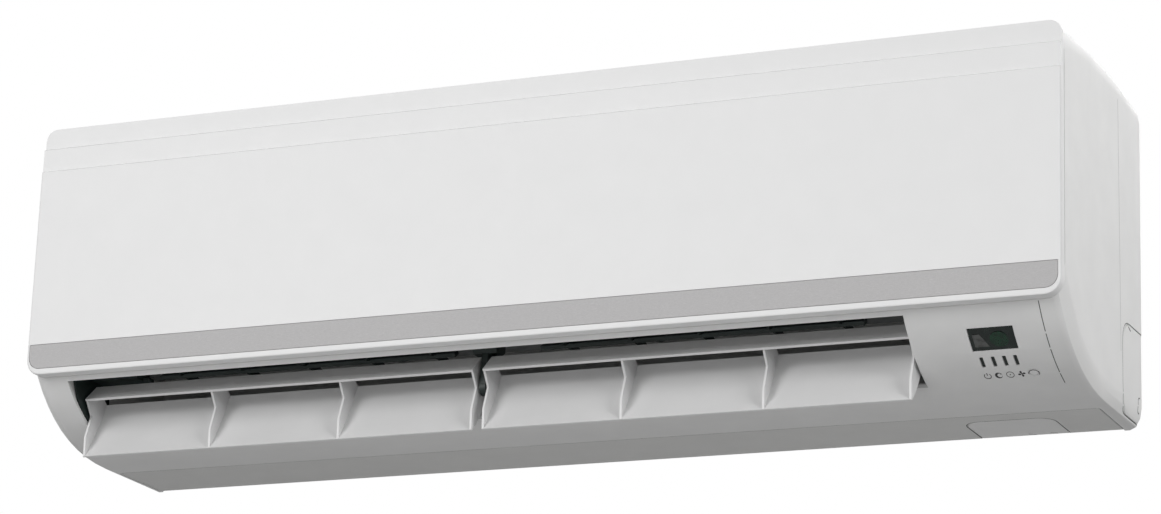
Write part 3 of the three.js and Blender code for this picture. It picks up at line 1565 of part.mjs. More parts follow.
function buildCover() {
  const { x, up } = controlBox;
  const plate = block(x[0], x[1], coverY - boxWall, coverY, bottomZ + up[0], bottomZ + up[1]);
  const vents = Array.from({ length: 4 }, (_, i) =>
    block(x[0] + 16, x[1] - 16, coverY - 9, coverY + 9, bottomZ + up[1] - 20 - 9 * i, bottomZ + up[1] - 16 - 9 * i),
  );
  return cut(plate, ...vents);
}
piece("control_box_cover", buildCover(), finishes.boxGrey);

function buildMainBoard() {
  const { x, up } = controlBox;
  const frontFace = boardBackY - boardThickness;
  const on = (x0, x1, u0, u1, height) =>
    block(x[0] + x0, x[0] + x1, frontFace - height, frontFace + 0.5, bottomZ + up[0] + u0, bottomZ + up[0] + u1);
  const capacitor = new THREE.CylinderGeometry(9, 9, 22, 14).translate(
    x[0] + 22,
    frontFace - 10,
    bottomZ + up[0] + 62,
  );
  return fuse(
    block(x[0] + 4, x[1] - 4, frontFace, boardBackY, bottomZ + up[0] + 4, bottomZ + up[1] - 4),
    on(40, 68, 46, 74, 18),
    on(12, 30, 84, 100, 14),
    on(38, 70, 86, 112, 10),
    capacitor,
  );
}
piece("main_board", buildMainBoard(), finishes.board);

function buildTerminals() {
  const { x, up } = controlBox;
  const faceY = boardBackY - boardThickness - joint;
  const base = block(x[0] + 10, x[0] + 72, faceY - 8, faceY, bottomZ + up[0] + 10, bottomZ + up[0] + 32);
  const fins = Array.from({ length: 5 }, (_, i) =>
    block(x[0] + 10 + 15 * i, x[0] + 12 + 15 * i, faceY - 14, faceY - 1, bottomZ + up[0] + 10, bottomZ + up[0] + 32),
  );
  const screws = Array.from({ length: 4 }, (_, i) =>
    new THREE.CylinderGeometry(3.4, 3.4, 4, 6).translate(x[0] + 18.5 + 15 * i, faceY - 9, bottomZ + up[0] + 21),
  );
  return fuse(base, ...fins, ...screws);
}
piece("terminal_block", buildTerminals(), finishes.dark);

// Flat board behind the display, with the display module, the pilot lamps and the switch on it.
const displayBoardBacks = [24, 64];
const displayBoardInset = 13;
function buildDisplayBoard() {
  const from = belly(displayBoardBacks[0]);
  const to = belly(displayBoardBacks[1]);
  const a = from.point.addScaledVector(from.inward, displayBoardInset - 4);
  const b = to.point.addScaledVector(to.inward, displayBoardInset - 4);
  const along = b.clone().sub(a).normalize();
  const inward = new THREE.Vector2(-along.y, along.x);
  const up = (point, by) => point.clone().addScaledVector(inward, by);
  const board = prismX([a, b, up(b, boardThickness), up(a, boardThickness)], displayX[0] - 6, 376);
  const lens = belly((displayBack[0] + displayBack[1]) / 2);
  const target = lens.point.clone().addScaledVector(lens.inward, 4.5 + joint);
  const foot = a.clone().addScaledVector(along, target.clone().sub(a).dot(along));
  const height = target.clone().sub(foot).dot(inward);
  const module = prismX(
    [up(foot, height), up(foot, 0.5), up(foot.clone().addScaledVector(along, 12), 0.5), up(foot.clone().addScaledVector(along, 12), height)],
    displayX[0] + 2,
    displayX[1] - 2,
  );
  return fuse(board, module);
}
piece("display_board", buildDisplayBoard(), finishes.board);

export default unit;
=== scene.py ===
"""Finishes, smooth skins, seam lines, nets, fins and printed marks for the wall-hung indoor unit."""

import json
import math

import bpy
from mathutils import Matrix, Vector


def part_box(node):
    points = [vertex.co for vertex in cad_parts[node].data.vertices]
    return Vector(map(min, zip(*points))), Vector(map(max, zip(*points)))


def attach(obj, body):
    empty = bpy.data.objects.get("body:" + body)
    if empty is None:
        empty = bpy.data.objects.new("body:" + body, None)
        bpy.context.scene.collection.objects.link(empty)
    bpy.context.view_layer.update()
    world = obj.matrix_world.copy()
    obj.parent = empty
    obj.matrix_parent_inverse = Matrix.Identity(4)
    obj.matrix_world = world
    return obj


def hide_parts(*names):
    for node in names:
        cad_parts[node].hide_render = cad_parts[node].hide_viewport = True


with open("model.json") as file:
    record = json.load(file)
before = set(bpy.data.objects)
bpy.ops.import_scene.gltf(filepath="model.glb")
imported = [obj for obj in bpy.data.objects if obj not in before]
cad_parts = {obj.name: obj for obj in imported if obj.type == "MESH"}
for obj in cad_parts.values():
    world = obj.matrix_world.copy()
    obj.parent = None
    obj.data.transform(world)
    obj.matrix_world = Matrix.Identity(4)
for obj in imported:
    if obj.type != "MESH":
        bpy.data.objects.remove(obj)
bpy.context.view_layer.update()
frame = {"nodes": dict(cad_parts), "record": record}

bl_info = {
    "name": "Wall-hung Indoor Unit",
    "version": (1, 0, 0),
    "blender": (4, 5, 0),
    "location": "View3D > Sidebar > Indoor Unit",
    "description": "Finishes, filter nets, coil fins, printed marks and a studio for the indoor unit",
    "category": "Object",
}

MM = 0.001
FRONT_Y = -0.196  # front face of the panel
BOTTOM_Z = -0.12325  # underside of the casing

# Places below are in millimetres: x across, back from the front face, up from the underside.
BELLY = ((9.5, 46.5), (46.0, 0.0), (118.0, 0.0))  # control points of the belly's curve, back and up
ICON_BACK = 59.4  # row of printed marks
ICON_DEEPER = 1.2  # the marks are drawn this much longer towards the front
BUTTON_X = 364
BUTTON_LEDGE_BACK = 63.5  # nearest casing behind the button's hole
BUTTON_AHEAD = 4.5  # from that ledge to the button's middle
ICON_XS = {"power": 331.4, "moon": 339.2, "dial": 347.3, "fan": 355.4}
SEAM_X = 381.5  # thin seam line down the belly
SEAM_BACKS = (9.9, 75.0)
DISPLAY_X = (328.1, 359.7)
DISPLAY_BACK = (21.7, 36.5)
DISPLAY_PROUD = 0.012
MARK_PROUD = 0.03
BESIDE = 412  # a side's lines are cast from here inwards
BENEATH = -6  # the underside's lines are cast from here upwards
OFF_BELLY = 4.0  # a ray towards the belly starts this far off its curve
LINE_THICKNESS = 0.012
MARK_THICKNESS = 0.05
FILTER_FOOT = (15.4, 78.3)  # middle line of the filters, back and up
FILTER_BEND = ((15.4, 150.0), (15.4, 232.5), (128.0, 237.5))  # control points of its bend over the coil
FILTER_MARGIN = 4.0  # frame around the net
STRAND = 0.45
FIN = 0.22  # thickness of a fin

# Lamps: place in metres, size across.
KEY_LAMP = ((-1.9, -3.6, 1.2), 2.2)
SIDE_LAMP = ((3.2, -1.5, 0.9), 1.6)
REAR_LAMP = ((0.6, 2.6, 1.6), 1.8)
FILL_LAMP = ((0.1, -2.6, -1.0), 0.8)

# The photograph's camera, fitted to its points.
CAMERA_PLACE = (1.031469, -2.399381, -0.726382)
CAMERA_DEGREES = (106.2964, -1.9582, 23.407)
CAMERA_SENSOR = 36
CAMERA_LENS = 110.685


def at(x, back, up):
    """A point given across, behind the front face and above the bottom, in millimetres."""
    return Vector((x * MM, FRONT_Y + back * MM, BOTTOM_Z + up * MM))


def belly(back):
    """Point and outward direction of the belly's curve at a distance back, in millimetres."""
    (b0, u0), (b1, u1), (b2, u2) = BELLY
    a, b, c = b0 - 2 * b1 + b2, 2 * (b1 - b0), b0 - back
    t = (-b + math.sqrt(b * b - 4 * a * c)) / (2 * a)
    up = (1 - t) ** 2 * u0 + 2 * t * (1 - t) * u1 + t * t * u2
    backward = (1 - t) * (b1 - b0) + t * (b2 - b1)
    upward = (1 - t) * (u1 - u0) + t * (u2 - u1)
    run = Vector((0, backward, upward)).normalized()
    return at(0, back, up), Vector((0, run.z, -run.y))


# ---------------------------------------------------------------- settings


class UnitColours(bpy.types.PropertyGroup):
    """Colours of the unit's mouldings and metals."""

    def tone(name, description, value):
        return bpy.props.FloatVectorProperty(
            name=name, description=description, subtype="COLOR", size=3, min=0, max=1, default=value
        )

    casing: tone("Casing", "White of the casing mouldings", (0.76, 0.76, 0.755))
    panel: tone("Panel", "White of the front panel", (0.80, 0.80, 0.80))
    chassis: tone("Chassis", "Off-white of the chassis and drain pan", (0.66, 0.66, 0.65))
    trim: tone("Trim", "Silver grey of the trim strip", (0.47, 0.463, 0.465))
    louver: tone("Louvers", "Light grey of the horizontal louvers", (0.72, 0.72, 0.72))
    dark: tone("Vanes", "Green-black of the vanes and link bars", (0.012, 0.020, 0.018))
    fan: tone("Fan", "Grey of the fan", (0.28, 0.29, 0.29))
    net: tone("Filters", "Blue-grey of the filter frames and nets", (0.10, 0.16, 0.20))
    ink: tone("Print", "Ink of the printed marks", (0.03, 0.03, 0.03))
    del tone


class UnitSizes(bpy.types.PropertyGroup):
    """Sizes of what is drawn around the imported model."""

    def length(name, description, value, least=0.0):
        return bpy.props.FloatProperty(
            name=name, description=description, unit="LENGTH", min=least, default=value
        )

    fin_pitch: length("Fin pitch", "Distance between two coil fins", 0.0026, least=0.001)
    net_pitch: length("Net pitch", "Distance between two strands of a filter net", 0.005, least=0.002)
    edge: length("Edge", "Rounding of the casing's moulded edges", 0.0005)
    del length


class StudioSettings(bpy.types.PropertyGroup):
    """Floor and lamps."""

    def power(name, description, value):
        return bpy.props.FloatProperty(
            name=name, description=description, unit="POWER", min=0, default=value
        )

    floor_drop: bpy.props.FloatProperty(
        name="Floor drop", description="Floor below the unit's middle", unit="LENGTH", min=0.2, default=1.25
    )
    ambient: bpy.props.FloatProperty(
        name="Ambient", description="Level of the even light from all round", min=0, default=0.08
    )
    key_power: power("Key", "Power of the front lamp", 84)
    side_power: power("Side", "Power of the lamp at the right", 62)
    rear_power: power("Rear", "Power of the lamp behind", 20)
    fill_power: power("Fill", "Power of the low front lamp that reaches into the outlet", 7)
    del power


# ---------------------------------------------------------------- materials


def new_material(name):
    """A material with only a Principled shader and its output."""
    material = bpy.data.materials.new(name)
    material.use_nodes = True
    tree = material.node_tree
    shader = tree.nodes["Principled BSDF"]
    return material, tree, shader


def object_pattern(tree, kind, scale, stretch=(1, 1, 1), **values):
    """A texture node read in Object coordinates, stretched along its axes."""
    place = tree.nodes.new("ShaderNodeTexCoord")
    mapping = tree.nodes.new("ShaderNodeMapping")
    mapping.inputs["Scale"].default_value = [scale * s for s in stretch]
    texture = tree.nodes.new(kind)
    for key, value in values.items():
        if key in texture.inputs:
            texture.inputs[key].default_value = value
        else:
            setattr(texture, key, value)
    tree.links.new(place.outputs["Object"], mapping.inputs["Vector"])
    tree.links.new(mapping.outputs["Vector"], texture.inputs["Vector"])
    return texture


def spread(tree, source, low, high):
    """Carries a pattern's 0 to 1 over to a range of values."""
    reach = tree.nodes.new("ShaderNodeMapRange")
    reach.inputs["To Min"].default_value = low
    reach.inputs["To Max"].default_value = high
    tree.links.new(source.outputs[0], reach.inputs["Value"])
    return reach


def mixed(tree, factor, first, second, low=0.4, high=0.6):
    """Two colours mixed by a pattern."""
    ramp = tree.nodes.new("ShaderNodeValToRGB")
    ramp.color_ramp.elements[0].position = low
    ramp.color_ramp.elements[1].position = high
    ramp.color_ramp.elements[0].color = (*first, 1)
    ramp.color_ramp.elements[1].color = (*second, 1)
    tree.links.new(factor, ramp.inputs["Fac"])
    return ramp


def shade(colour, amount):
    """The same colour, lighter or darker by a share."""
    return tuple(min(1.0, c * amount) for c in colour)


def relief(tree, shader, height, strength, depth):
    """Bump from a pattern."""
    bump = tree.nodes.new("ShaderNodeBump")
    bump.inputs["Strength"].default_value = strength
    bump.inputs["Distance"].default_value = depth
    tree.links.new(height, bump.inputs["Height"])
    tree.links.new(bump.outputs["Normal"], shader.inputs["Normal"])


def moulded(name, colour, roughness, grain=900, depth=0.00002, variation=0.02):
    """Moulded plastic: a faint grain, a little unevenness in tone and gloss."""
    material, tree, shader = new_material(name)
    cloud = object_pattern(tree, "ShaderNodeTexNoise", 7, Detail=3.0)
    darker = shade(colour, 1 - variation)
    paler = shade(colour, 1 + variation)
    tone = mixed(tree, cloud.outputs["Fac"], darker, paler, 0.3, 0.7)
    tree.links.new(tone.outputs["Color"], shader.inputs["Base Color"])
    gloss = object_pattern(tree, "ShaderNodeTexNoise", 40, Detail=2.0)
    level = spread(tree, gloss, roughness - 0.04, roughness + 0.05)
    tree.links.new(level.outputs["Result"], shader.inputs["Roughness"])
    fine = object_pattern(tree, "ShaderNodeTexNoise", grain, Detail=2.0)
    relief(tree, shader, fine.outputs["Fac"], 0.25, depth)
    shader.inputs["Specular IOR Level"].default_value = 0.45
    return material


def brushed_film(name, colour):
    """Silver film with fine lengthwise streaks and scattered paler strokes."""
    material, tree, shader = new_material(name)
    streaks = object_pattern(tree, "ShaderNodeTexNoise", 1, stretch=(60, 60, 900), Detail=3.0)
    base = mixed(tree, streaks.outputs["Fac"], shade(colour, 0.93), shade(colour, 1.07), 0.3, 0.7)
    strokes = object_pattern(
        tree, "ShaderNodeTexVoronoi", 1, stretch=(70, 70, 210), feature="DISTANCE_TO_EDGE"
    )
    thin = tree.nodes.new("ShaderNodeMapRange")
    thin.inputs["From Min"].default_value = 0.0
    thin.inputs["From Max"].default_value = 0.05
    thin.inputs["To Min"].default_value = 0.35
    thin.inputs["To Max"].default_value = 0.0
    tree.links.new(strokes.outputs["Distance"], thin.inputs["Value"])
    blend = tree.nodes.new("ShaderNodeMix")
    blend.data_type = "RGBA"
    blend.inputs["B"].default_value = (*shade(colour, 1.35), 1)
    tree.links.new(thin.outputs["Result"], blend.inputs["Factor"])
    tree.links.new(base.outputs["Color"], blend.inputs["A"])
    tree.links.new(blend.outputs["Result"], shader.inputs["Base Color"])
    level = spread(tree, streaks, 0.5, 0.62)
    tree.links.new(level.outputs["Result"], shader.inputs["Roughness"])
    shader.inputs["Specular IOR Level"].default_value = 0.4
    relief(tree, shader, streaks.outputs["Fac"], 0.2, 0.00003)
    return material


def metal(name, colour, roughness, stretch=(1, 1, 1), spotted=0.06):
    """Bare or plated metal with a faint mottle, drawn out along a direction where it was rolled."""
    material, tree, shader = new_material(name)
    mottle = object_pattern(tree, "ShaderNodeTexNoise", 60, stretch=stretch, Detail=4.0)
    darker = shade(colour, 1 - spotted)
    paler = shade(colour, 1 + spotted)
    tone = mixed(tree, mottle.outputs["Fac"], darker, paler, 0.35, 0.65)
    tree.links.new(tone.outputs["Color"], shader.inputs["Base Color"])
    level = spread(tree, mottle, roughness - 0.08, roughness + 0.08)
    tree.links.new(level.outputs["Result"], shader.inputs["Roughness"])
    shader.inputs["Metallic"].default_value = 1.0
    return material


def smoked(name, colour):
    """Dark lens plastic with a gloss."""
    material, tree, shader = new_material(name)
    cloud = object_pattern(tree, "ShaderNodeTexNoise", 60, Detail=2.0)
    tone = mixed(tree, cloud.outputs["Fac"], shade(colour, 0.8), shade(colour, 1.25))
    tree.links.new(tone.outputs["Color"], shader.inputs["Base Color"])
    level = spread(tree, cloud, 0.08, 0.14)
    tree.links.new(level.outputs["Result"], shader.inputs["Roughness"])
    return material


def make_finishes(colours):
    """Every finish, by the record's material slot."""

    def pick(name):
        return tuple(getattr(colours, name))

    return {
        "casing_white": moulded("casing white", pick("casing"), 0.45),
        "panel_white": moulded(
            "panel white", pick("panel"), 0.46, grain=300, depth=0.000008, variation=0.008
        ),
        "trim_silver": brushed_film("trim film", pick("trim")),
        "chassis_white": moulded("chassis white", pick("chassis"), 0.5),
        "louver_grey": moulded("louver grey", pick("louver"), 0.42),
        "dark_plastic": moulded("vane black", pick("dark"), 0.5, variation=0.15),
        "smoked_plastic": smoked("smoked lens", (0.010, 0.016, 0.014)),
        "fan_grey": moulded("fan grey", pick("fan"), 0.5),
        "filter_blue": moulded("filter frame", pick("net"), 0.55, variation=0.08),
        "zinc_steel": metal("zinc plate", (0.48, 0.49, 0.50), 0.42, spotted=0.14),
        "fin_aluminium": metal("fin stock", (0.62, 0.63, 0.64), 0.35, stretch=(40, 1, 1)),
        "copper_tube": metal("copper", (0.62, 0.27, 0.13), 0.28, spotted=0.12),
        "nut_brass": metal("brass", (0.60, 0.42, 0.14), 0.3),
        "black_rubber": moulded("rubber", (0.012, 0.012, 0.012), 0.8, variation=0.1),
        "box_grey": moulded("box grey", (0.22, 0.22, 0.225), 0.6),
        "board_green": moulded("board lacquer", (0.008, 0.09, 0.035), 0.35, variation=0.1),
    }


# ---------------------------------------------------------------- modelling helpers


def body_of_node(node):
    """The CAD body that carries a node."""
    bodies = frame["record"]["behaviour"]["bodies"]
    return next(body for body, nodes in bodies.items() if node in nodes)


def slot_of_node(node):
    """The record's material slot of a node."""
    return next(s["material_slot"] for s in frame["record"]["subparts"] if s["node"] == node)


FINISH_NAMES = {}  # material by slot, filled by the first operator


def finish_named(slot):
    """The finish made for a slot."""
    return bpy.data.materials[FINISH_NAMES[slot]]


def dress(piece, slot, body):
    """Gives a finished piece the finish made for its slot, and puts it on its body."""
    piece.data.materials.clear()
    piece.data.materials.append(finish_named(slot))
    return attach(piece, body)


def only(piece):
    """Selects one object and nothing else."""
    bpy.ops.object.select_all(action="DESELECT")
    piece.select_set(True)
    bpy.context.view_layer.objects.active = piece


def smoothed(node, name, edge=0.0, angle=32, segments=2):
    """Stands for a CAD node: the same shape merged, smooth over its curves and eased at its edges."""
    piece = bpy.data.objects.new(name, frame["nodes"][node].data.copy())
    bpy.context.scene.collection.objects.link(piece)
    only(piece)
    bpy.ops.object.mode_set(mode="EDIT")
    bpy.ops.mesh.select_all(action="SELECT")
    bpy.ops.mesh.remove_doubles(threshold=0.00001)
    bpy.ops.mesh.dissolve_limited(angle_limit=math.radians(0.6))
    bpy.ops.object.mode_set(mode="OBJECT")
    if edge:
        rounding = piece.modifiers.new("edges", "BEVEL")
        rounding.width = edge
        rounding.segments = segments
        rounding.limit_method = "ANGLE"
        rounding.angle_limit = math.radians(angle)
        rounding.harden_normals = True
        bpy.ops.object.modifier_apply(modifier=rounding.name)
    bpy.ops.object.shade_smooth_by_angle(angle=math.radians(angle))
    levelling = piece.modifiers.new("levelling", "WEIGHTED_NORMAL")
    levelling.keep_sharp = True
    bpy.ops.object.modifier_apply(modifier=levelling.name)
    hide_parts(node)
    return dress(piece, slot_of_node(node), body_of_node(node))


def on_skin(x, back, proud, skin="casing_shell"):
    """A flat frame on a skin under a point of the belly: right, towards the front, outwards."""
    point, out = belly(back)
    origin = Vector((x * MM, point.y, point.z)) + out * (OFF_BELLY * MM)
    hit, place, normal, _ = bpy.data.objects[skin].ray_cast(origin, -out, distance=0.02)
    if not hit:
        raise RuntimeError(f"no casing under x {x}, back {back}")
    right = Vector((1, 0, 0))
    normal = (normal - right * normal.dot(right)).normalized()
    ahead = normal.cross(right)
    basis = Matrix((right, ahead, normal)).transposed().to_4x4()
    return Matrix.Translation(place + normal * proud * MM) @ basis


def outline_ring(outer, inner, keep=lambda degrees: True, shift=0.0, sides=48):
    """A flat ring in millimetres. keep says which degrees stay, shift moves its inner edge to the right."""
    bpy.ops.object.select_all(action="DESELECT")
    bpy.ops.mesh.primitive_circle_add(vertices=sides, radius=outer * MM, fill_type="NOTHING")
    ring = bpy.context.object
    bpy.ops.object.mode_set(mode="EDIT")
    bpy.ops.mesh.select_all(action="SELECT")
    bpy.ops.mesh.extrude_region_move()
    share = inner / outer
    bpy.ops.transform.resize(value=(share, share, 1), center_override=(0, 0, 0))
    bpy.ops.transform.translate(value=(shift * MM, 0, 0))
    bpy.ops.object.mode_set(mode="OBJECT")

    def degrees(point):
        on_inner_edge = point.length < outer * MM * 0.999
        middle = shift * MM if on_inner_edge else 0
        return math.degrees(math.atan2(point.y, point.x - middle)) % 360

    gone = [v.index for v in ring.data.vertices if not keep(degrees(v.co))]
    if gone:
        bpy.ops.object.mode_set(mode="EDIT")
        bpy.ops.mesh.select_all(action="DESELECT")
        bpy.ops.object.mode_set(mode="OBJECT")
        for index in gone:
            ring.data.vertices[index].select = True
        bpy.ops.object.mode_set(mode="EDIT")
        bpy.ops.mesh.select_mode(type="VERT")
        bpy.ops.mesh.delete(type="VERT")
        bpy.ops.object.mode_set(mode="OBJECT")
    return ring


def outline_disc(radius, centre=(0, 0), stretch=(1, 1), turn=0, sides=24):
    """A flat filled oval in millimetres, turned in degrees."""
    bpy.ops.object.select_all(action="DESELECT")
    bpy.ops.mesh.primitive_circle_add(vertices=sides, radius=radius * MM, fill_type="NGON")
    disc = bpy.context.object
    turned = Matrix.Rotation(math.radians(turn), 4, "Z")
    placed = Matrix.Translation((centre[0] * MM, centre[1] * MM, 0))
    disc.data.transform(turned @ placed @ Matrix.Diagonal((*stretch, 1, 1)))
    return disc


def outline_plate(corners):
    """A flat four-sided plate with the given corners in millimetres, anticlockwise."""
    bpy.ops.object.select_all(action="DESELECT")
    bpy.ops.mesh.primitive_plane_add(size=MM)
    plate = bpy.context.object
    for vertex, (x, y) in zip(plate.data.vertices, (corners[0], corners[1], corners[3], corners[2])):
        vertex.co = (x * MM, y * MM, 0)
    return plate


def joined(pieces, name):
    """One object of several."""
    bpy.ops.object.select_all(action="DESELECT")
    for piece in pieces:
        piece.select_set(True)
    bpy.context.view_layer.objects.active = pieces[0]
    if len(pieces) > 1:
        bpy.ops.object.join()
    whole = bpy.context.object
    whole.name = name
    return whole


def printed(outlines, name, place, material, body="cabinet", thickness=MARK_THICKNESS):
    """Gives flat outlines a hair of thickness, lays them at their place and puts them on a body."""
    mark = joined(outlines, name)
    only(mark)
    film = mark.modifiers.new("film", "SOLIDIFY")
    film.thickness = thickness * MM
    film.offset = 0
    bpy.ops.object.modifier_apply(modifier=film.name)
    mark.data.transform(place)
    bpy.ops.object.mode_set(mode="EDIT")
    bpy.ops.mesh.select_all(action="SELECT")
    bpy.ops.mesh.normals_make_consistent(inside=False)
    bpy.ops.object.mode_set(mode="OBJECT")
    mark.data.materials.clear()
    mark.data.materials.append(material)
    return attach(mark, body)


def ribbon(name, rays, half, material, skin="casing_shell"):
    """A thin line laid on a skin where the given rays meet it. half is half its width in millimetres."""
    met = []
    ground = bpy.data.objects[skin]
    for origin, direction in rays:
        hit, place, normal, _ = ground.ray_cast(origin, Vector(direction), distance=0.04)
        if hit:
            met.append((place, normal))
    if len(met) < 2:
        raise RuntimeError(f"{name} misses {skin}")
    bpy.ops.object.select_all(action="DESELECT")
    bpy.ops.mesh.primitive_grid_add(x_subdivisions=1, y_subdivisions=len(met) - 1, size=1)
    line = bpy.context.object
    for vertex in line.data.vertices:
        i = round((vertex.co.y + 0.5) * (len(met) - 1))
        place, normal = met[i]
        run = met[min(i + 1, len(met) - 1)][0] - met[max(i - 1, 0)][0]
        across = run.cross(normal).normalized()
        side = -1 if vertex.co.x < 0 else 1
        vertex.co = place + across * half * MM * side
    return printed([line], name, Matrix(), material, thickness=LINE_THICKNESS)


def rounded_path(corners, radius, step=1.5):
    """Points along a path in millimetres whose corners are rounded."""
    path = [Vector(corners[0])]
    for before, corner, after in zip(corners, corners[1:], corners[2:]):
        corner = Vector(corner)
        start = corner + (Vector(before) - corner).normalized() * radius
        stop = corner + (Vector(after) - corner).normalized() * radius
        for i in range(9):
            t = i / 8
            path.append(start.lerp(corner, t).lerp(corner.lerp(stop, t), t))
    path.append(Vector(corners[-1]))
    dense = []
    for a, b in zip(path, path[1:]):
        pieces = max(1, round((b - a).length / step))
        dense += [a.lerp(b, i / pieces) for i in range(pieces)]
    return dense + [path[-1]]


# ---------------------------------------------------------------- operators


class FINISH_OT_nodes(bpy.types.Operator):
    """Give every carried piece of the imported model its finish"""

    bl_idname = "indoor.finish_nodes"
    bl_label = "Finish all pieces"

    def execute(self, context):
        made = make_finishes(context.scene.unit_colours)
        FINISH_NAMES.update({slot: material.name for slot, material in made.items()})
        for node, piece in frame["nodes"].items():
            piece.data.materials.clear()
            piece.data.materials.append(made[slot_of_node(node)])
        return {"FINISHED"}


class SMOOTH_OT_mouldings(bpy.types.Operator):
    """Redraw the mouldings that show as smooth skins with eased edges"""

    bl_idname = "indoor.smooth_mouldings"
    bl_label = "Smooth mouldings"

    def execute(self, context):
        edge = context.scene.unit_sizes.edge
        smoothed("front_casing", "casing_shell", edge=edge)
        smoothed("front_panel", "panel_shell", edge=edge)
        smoothed("rear_chassis", "chassis_shell", edge=edge)
        smoothed("trim_strip", "trim_film", edge=0.00015)
        smoothed("floor_knockout", "floor_knockout_plate", edge=0.0003)
        smoothed("display_window", "display_lens", edge=0.00015)
        smoothed("light_guide", "pilot_lens", edge=0.00015)
        smoothed("on_off_button", "button_cap", edge=0.0003, segments=3)
        for side in ("left", "right"):
            smoothed(f"louver_{side}", f"louver_blade_{side}", edge=0.0003)
            smoothed(f"side_knockout_{side}", f"side_knockout_plate_{side}", edge=0.0003)
            smoothed(f"panel_arm_{side}", f"hinge_arm_{side}", edge=0.0003)
        return {"FINISHED"}


class SMOOTH_OT_inside(bpy.types.Operator):
    """Redraw the works inside with round surfaces and eased edges"""

    bl_idname = "indoor.smooth_inside"
    bl_label = "Smooth inner pieces"

    def execute(self, context):
        eased = {
            "drain_pan": 0.0004,
            "drain_plug": 0.0004,
            "louver_bracket": 0.0004,
            "duct_liner_left": 0.0003,
            "duct_filler_left": 0.0003,
            "louver_motor": 0.0005,
            "fan_motor": 0.0008,
            "motor_clamp": 0.0003,
            "bearing_holder": 0.0006,
            "wall_plate": 0.00025,
            "control_box": 0.0004,
            "control_box_cover": 0.0004,
            "main_board": 0.0002,
            "terminal_block": 0.0003,
            "display_board": 0.0002,
            "gas_flare_nut": 0.0008,
            "liquid_flare_nut": 0.0006,
            "clamp_screw_front": 0.0003,
            "clamp_screw_rear": 0.0003,
            "link_bar_left": 0.0003,
            "link_bar_right": 0.0003,
            "cross_flow_fan": 0,
            "motor_shaft": 0.0003,
            "coil_plate_left": 0,
            "coil_plate_right": 0,
            "gas_pipe": 0,
            "liquid_pipe": 0,
            "air_filter_left": 0,
            "air_filter_right": 0,
        }
        for node, edge in eased.items():
            round_sides = node.endswith("pipe") or node.startswith("coil_plate")
            smoothed(node, f"{node}_skin", edge=edge, angle=70 if round_sides else 32)
        for side in ("left", "right"):
            for i in range(1, 6):
                smoothed(f"vane_{side}_{i}", f"vane_{side}_{i}_skin", edge=0.0002)
        return {"FINISHED"}


class MARK_OT_icons(bpy.types.Operator):
    """Print the four marks and the open ring round the push button"""

    bl_idname = "indoor.print_marks"
    bl_label = "Printed marks"

    def execute(self, context):
        ink = moulded("mark ink", tuple(context.scene.unit_colours.ink), 0.5, variation=0.05)

        def power():
            ring = outline_ring(2.6, 2.05, keep=lambda degrees: not 58 < degrees < 122)
            bar = outline_plate([(-0.3, 0.4), (0.3, 0.4), (0.3, 2.8), (-0.3, 2.8)])
            return [ring, bar]

        def moon():
            star = outline_disc(0.5, centre=(1.7, 1.1), sides=4)
            return [outline_ring(2.6, 1.75, shift=0.82), star]

        def dial():
            return [outline_ring(2.8, 2.35), outline_disc(0.45)]

        def fan():
            blades = [
                outline_disc(1.1, centre=(1.6, 0.35), stretch=(1, 0.7), turn=quarter * 90)
                for quarter in range(4)
            ]
            return [*blades, outline_disc(0.5)]

        for name, draw in (("power", power), ("moon", moon), ("dial", dial), ("fan", fan)):
            longer = Matrix.Diagonal((1, ICON_DEEPER, 1, 1))
            place = on_skin(ICON_XS[name], ICON_BACK, MARK_PROUD) @ longer
            printed(draw(), f"mark_{name}", place, ink)
        ring = outline_ring(4.0, 3.55, keep=lambda degrees: not 200 < degrees < 320)
        ledge = on_skin(BUTTON_X, BUTTON_LEDGE_BACK, MARK_PROUD)
        place = ledge @ Matrix.Translation((0, BUTTON_AHEAD * MM, 0))
        printed([ring], "mark_button_ring", place, ink)
        return {"FINISHED"}


class LENS_OT_display(bpy.types.Operator):
    """Lay the numeral pane and the receiver's disc on the face of the display's lens"""

    bl_idname = "indoor.fill_display"
    bl_label = "Display"

    def execute(self, context):
        middle_x = sum(DISPLAY_X) / 2
        middle_back = sum(DISPLAY_BACK) / 2
        place = on_skin(middle_x, middle_back, DISPLAY_PROUD, skin="display_lens")
        pane = smoked("numeral pane", (0.075, 0.078, 0.076))
        left = DISPLAY_X[0] - middle_x
        corners = [(left + 2.4, -6.0), (left + 12.4, -6.0), (left + 7.6, 5.0), (left + 2.4, 5.0)]
        printed([outline_plate(corners)], "numeral_pane", place, pane)
        disc = smoked("receiver disc", (0.004, 0.03, 0.014))
        receiver = outline_disc(6.5, centre=(4.6, -0.2), sides=40)
        printed([receiver], "receiver_disc", place, disc)
        return {"FINISHED"}


